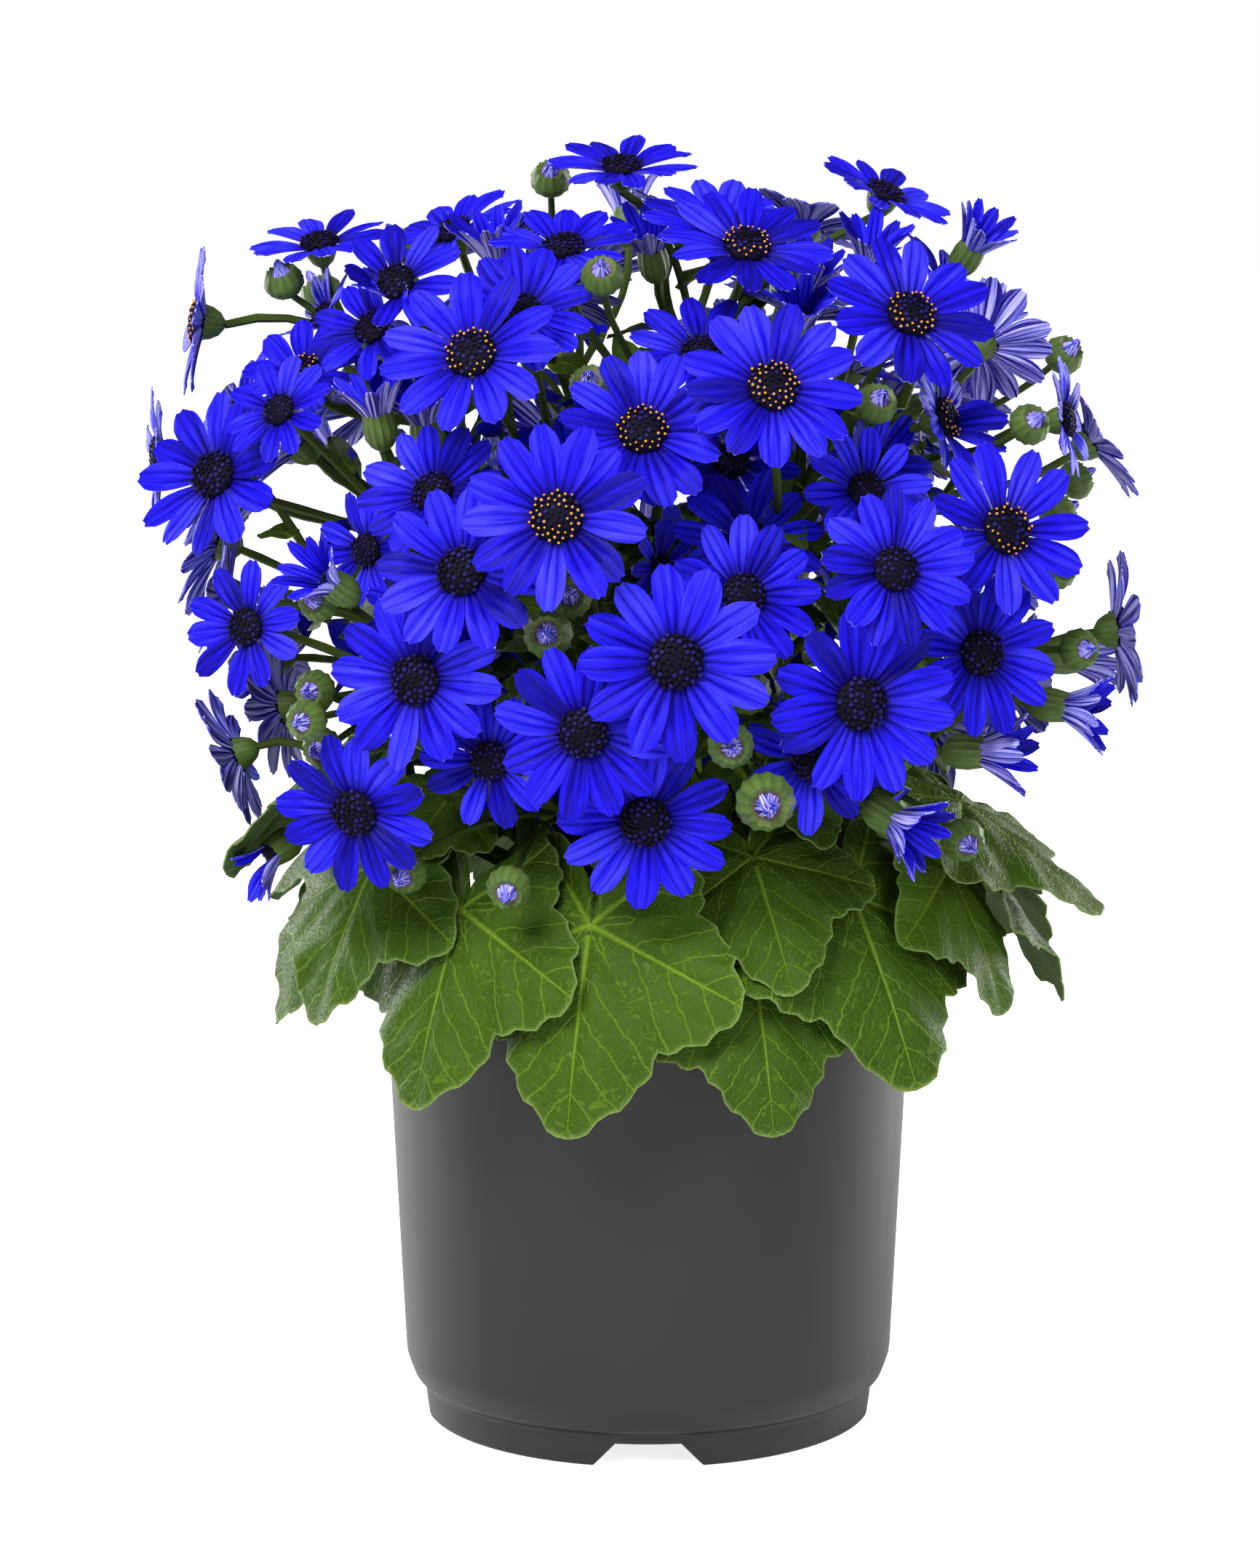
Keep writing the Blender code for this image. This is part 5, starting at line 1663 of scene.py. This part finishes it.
class MakeSprays(bpy.types.Operator):
    """Branching sprays with open heads, half-open heads, buds and small leaves"""

    bl_idname = "cineraria.make_sprays"
    bl_label = "Flower sprays"

    def execute(self, context):
        materials = flower_materials()
        groups = group_sprays(settle(front_heads() + back_heads()))
        for index, group in enumerate(groups):
            make_spray(index, group, materials)
        return {"FINISHED"}


def area_light(name, place, aim, size, power, colour):
    """A round soft light that looks at its aim."""
    light = bpy.data.lights.new(name, "AREA")
    light.shape = "DISK"
    light.size = size
    light.energy = power
    light.color = colour
    item = bpy.data.objects.new(name, light)
    item.location = place
    item.rotation_euler = (Vector(aim) - Vector(place)).to_track_quat("-Z", "Y").to_euler()
    bpy.context.scene.collection.objects.link(item)


class MakeStage(bpy.types.Operator):
    """Pale floor, soft lights and the camera"""

    bl_idname = "cineraria.make_stage"
    bl_label = "Stage"

    def execute(self, context):
        clear_startup()
        settings = context.scene.cineraria_stage
        bm = bmesh.new()
        bmesh.ops.create_grid(bm, x_segments=8, y_segments=8, size=6)
        bmesh.ops.translate(bm, verts=bm.verts, vec=(0, 0, -0.1 * MM))
        mesh = bpy.data.meshes.new("floor")
        bm.to_mesh(mesh)
        bm.free()
        floor = bpy.data.objects.new("floor", mesh)
        material, maker, shader = new_material("floor_white", 0.75, 0.2)
        mottle, _ = grain_of(maker, 3.0, 300.0)
        pale = maker.mix(mottle, tuple(settings.floor), times(settings.floor, 0.985))
        maker.tree.links.new(pale, shader.inputs["Base Color"])
        shader.inputs["Emission Color"].default_value = (1, 1, 1, 1)
        seen = maker.add("ShaderNodeLightPath").outputs["Is Camera Ray"]
        glow = maker.scaled(seen, settings.lift)
        maker.tree.links.new(glow, shader.inputs["Emission Strength"])
        mesh.materials.append(material)
        context.scene.collection.objects.link(floor)
        world = bpy.data.worlds.new("studio")
        world.use_nodes = True
        background = world.node_tree.nodes["Background"]
        background.inputs["Color"].default_value = (1, 1, 1, 1)
        maker = Maker(world.node_tree)
        seen = maker.add("ShaderNodeLightPath").outputs["Is Camera Ray"]
        strength = maker.maths("MAXIMUM", seen, settings.sky)
        world.node_tree.links.new(strength, background.inputs["Strength"])
        context.scene.world = world
        area_light("key", (-0.55, -1.15, 1.35), (0, 0, 0.26), 0.9, settings.key, (1, 0.985, 0.96))
        area_light("fill", (0.85, -1.25, 0.75), (0, 0, 0.22), 0.9, settings.fill, (0.97, 0.98, 1))
        for name, side in (("left_rim", -1), ("right_rim", 1)):
            area_light(name, (0.80 * side, 0.62, 0.32), (0, 0, 0.12), 0.45, settings.side, (1, 1, 1))
        context.scene.view_settings.view_transform = "Standard"
        camera = bpy.data.cameras.new("camera")
        camera.sensor_fit = "VERTICAL"
        camera.sensor_height = 24
        camera.lens = SIGHT_PIXELS / PHOTO_HEIGHT * camera.sensor_height
        camera.shift_x = -(AXIS_PIXEL - PHOTO_WIDTH / 2) / PHOTO_HEIGHT
        item = bpy.data.objects.new("camera", camera)
        item.location = EYE
        item.rotation_euler = (Vector((0, 0, AIM_HEIGHT)) - EYE).to_track_quat("-Z", "Y").to_euler()
        context.scene.collection.objects.link(item)
        context.scene.camera = item
        return {"FINISHED"}


class CinerariaPanel(bpy.types.Panel):
    """Lists the pieces of the plant and their settings"""

    bl_idname = "VIEW3D_PT_cineraria"
    bl_label = "Cineraria"
    bl_space_type = "VIEW_3D"
    bl_region_type = "UI"
    bl_category = "Cineraria"

    def draw(self, context):
        column = self.layout.column(align=True)
        for maker in (MakePot, MakeSoil, MakeMainStem, MakeLeaves, MakeSprays, MakeStage):
            column.operator(maker.bl_idname)
        for group in (
            context.scene.cineraria_pot,
            context.scene.cineraria_flowers,
            context.scene.cineraria_leaves,
            context.scene.cineraria_stage,
        ):
            box = self.layout.box()
            for name in group.__annotations__:
                box.prop(group, name)


CLASSES = (
    PotSettings,
    FlowerSettings,
    LeafSettings,
    StageSettings,
    MakePot,
    MakeSoil,
    MakeMainStem,
    MakeLeaves,
    MakeSprays,
    MakeStage,
    CinerariaPanel,
)


def register():
    for item in CLASSES:
        bpy.utils.register_class(item)
    bpy.types.Scene.cineraria_pot = PointerProperty(type=PotSettings)
    bpy.types.Scene.cineraria_flowers = PointerProperty(type=FlowerSettings)
    bpy.types.Scene.cineraria_leaves = PointerProperty(type=LeafSettings)
    bpy.types.Scene.cineraria_stage = PointerProperty(type=StageSettings)


def unregister():
    del bpy.types.Scene.cineraria_stage
    del bpy.types.Scene.cineraria_leaves
    del bpy.types.Scene.cineraria_flowers
    del bpy.types.Scene.cineraria_pot
    for item in reversed(CLASSES):
        bpy.utils.unregister_class(item)


def main():
    register()
    bpy.ops.cineraria.make_stage()
    bpy.ops.cineraria.make_pot()
    bpy.ops.cineraria.make_soil()
    bpy.ops.cineraria.make_main_stem()
    bpy.ops.cineraria.make_leaves()
    bpy.ops.cineraria.make_sprays()
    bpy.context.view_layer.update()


if __name__ == "__main__":
    main()
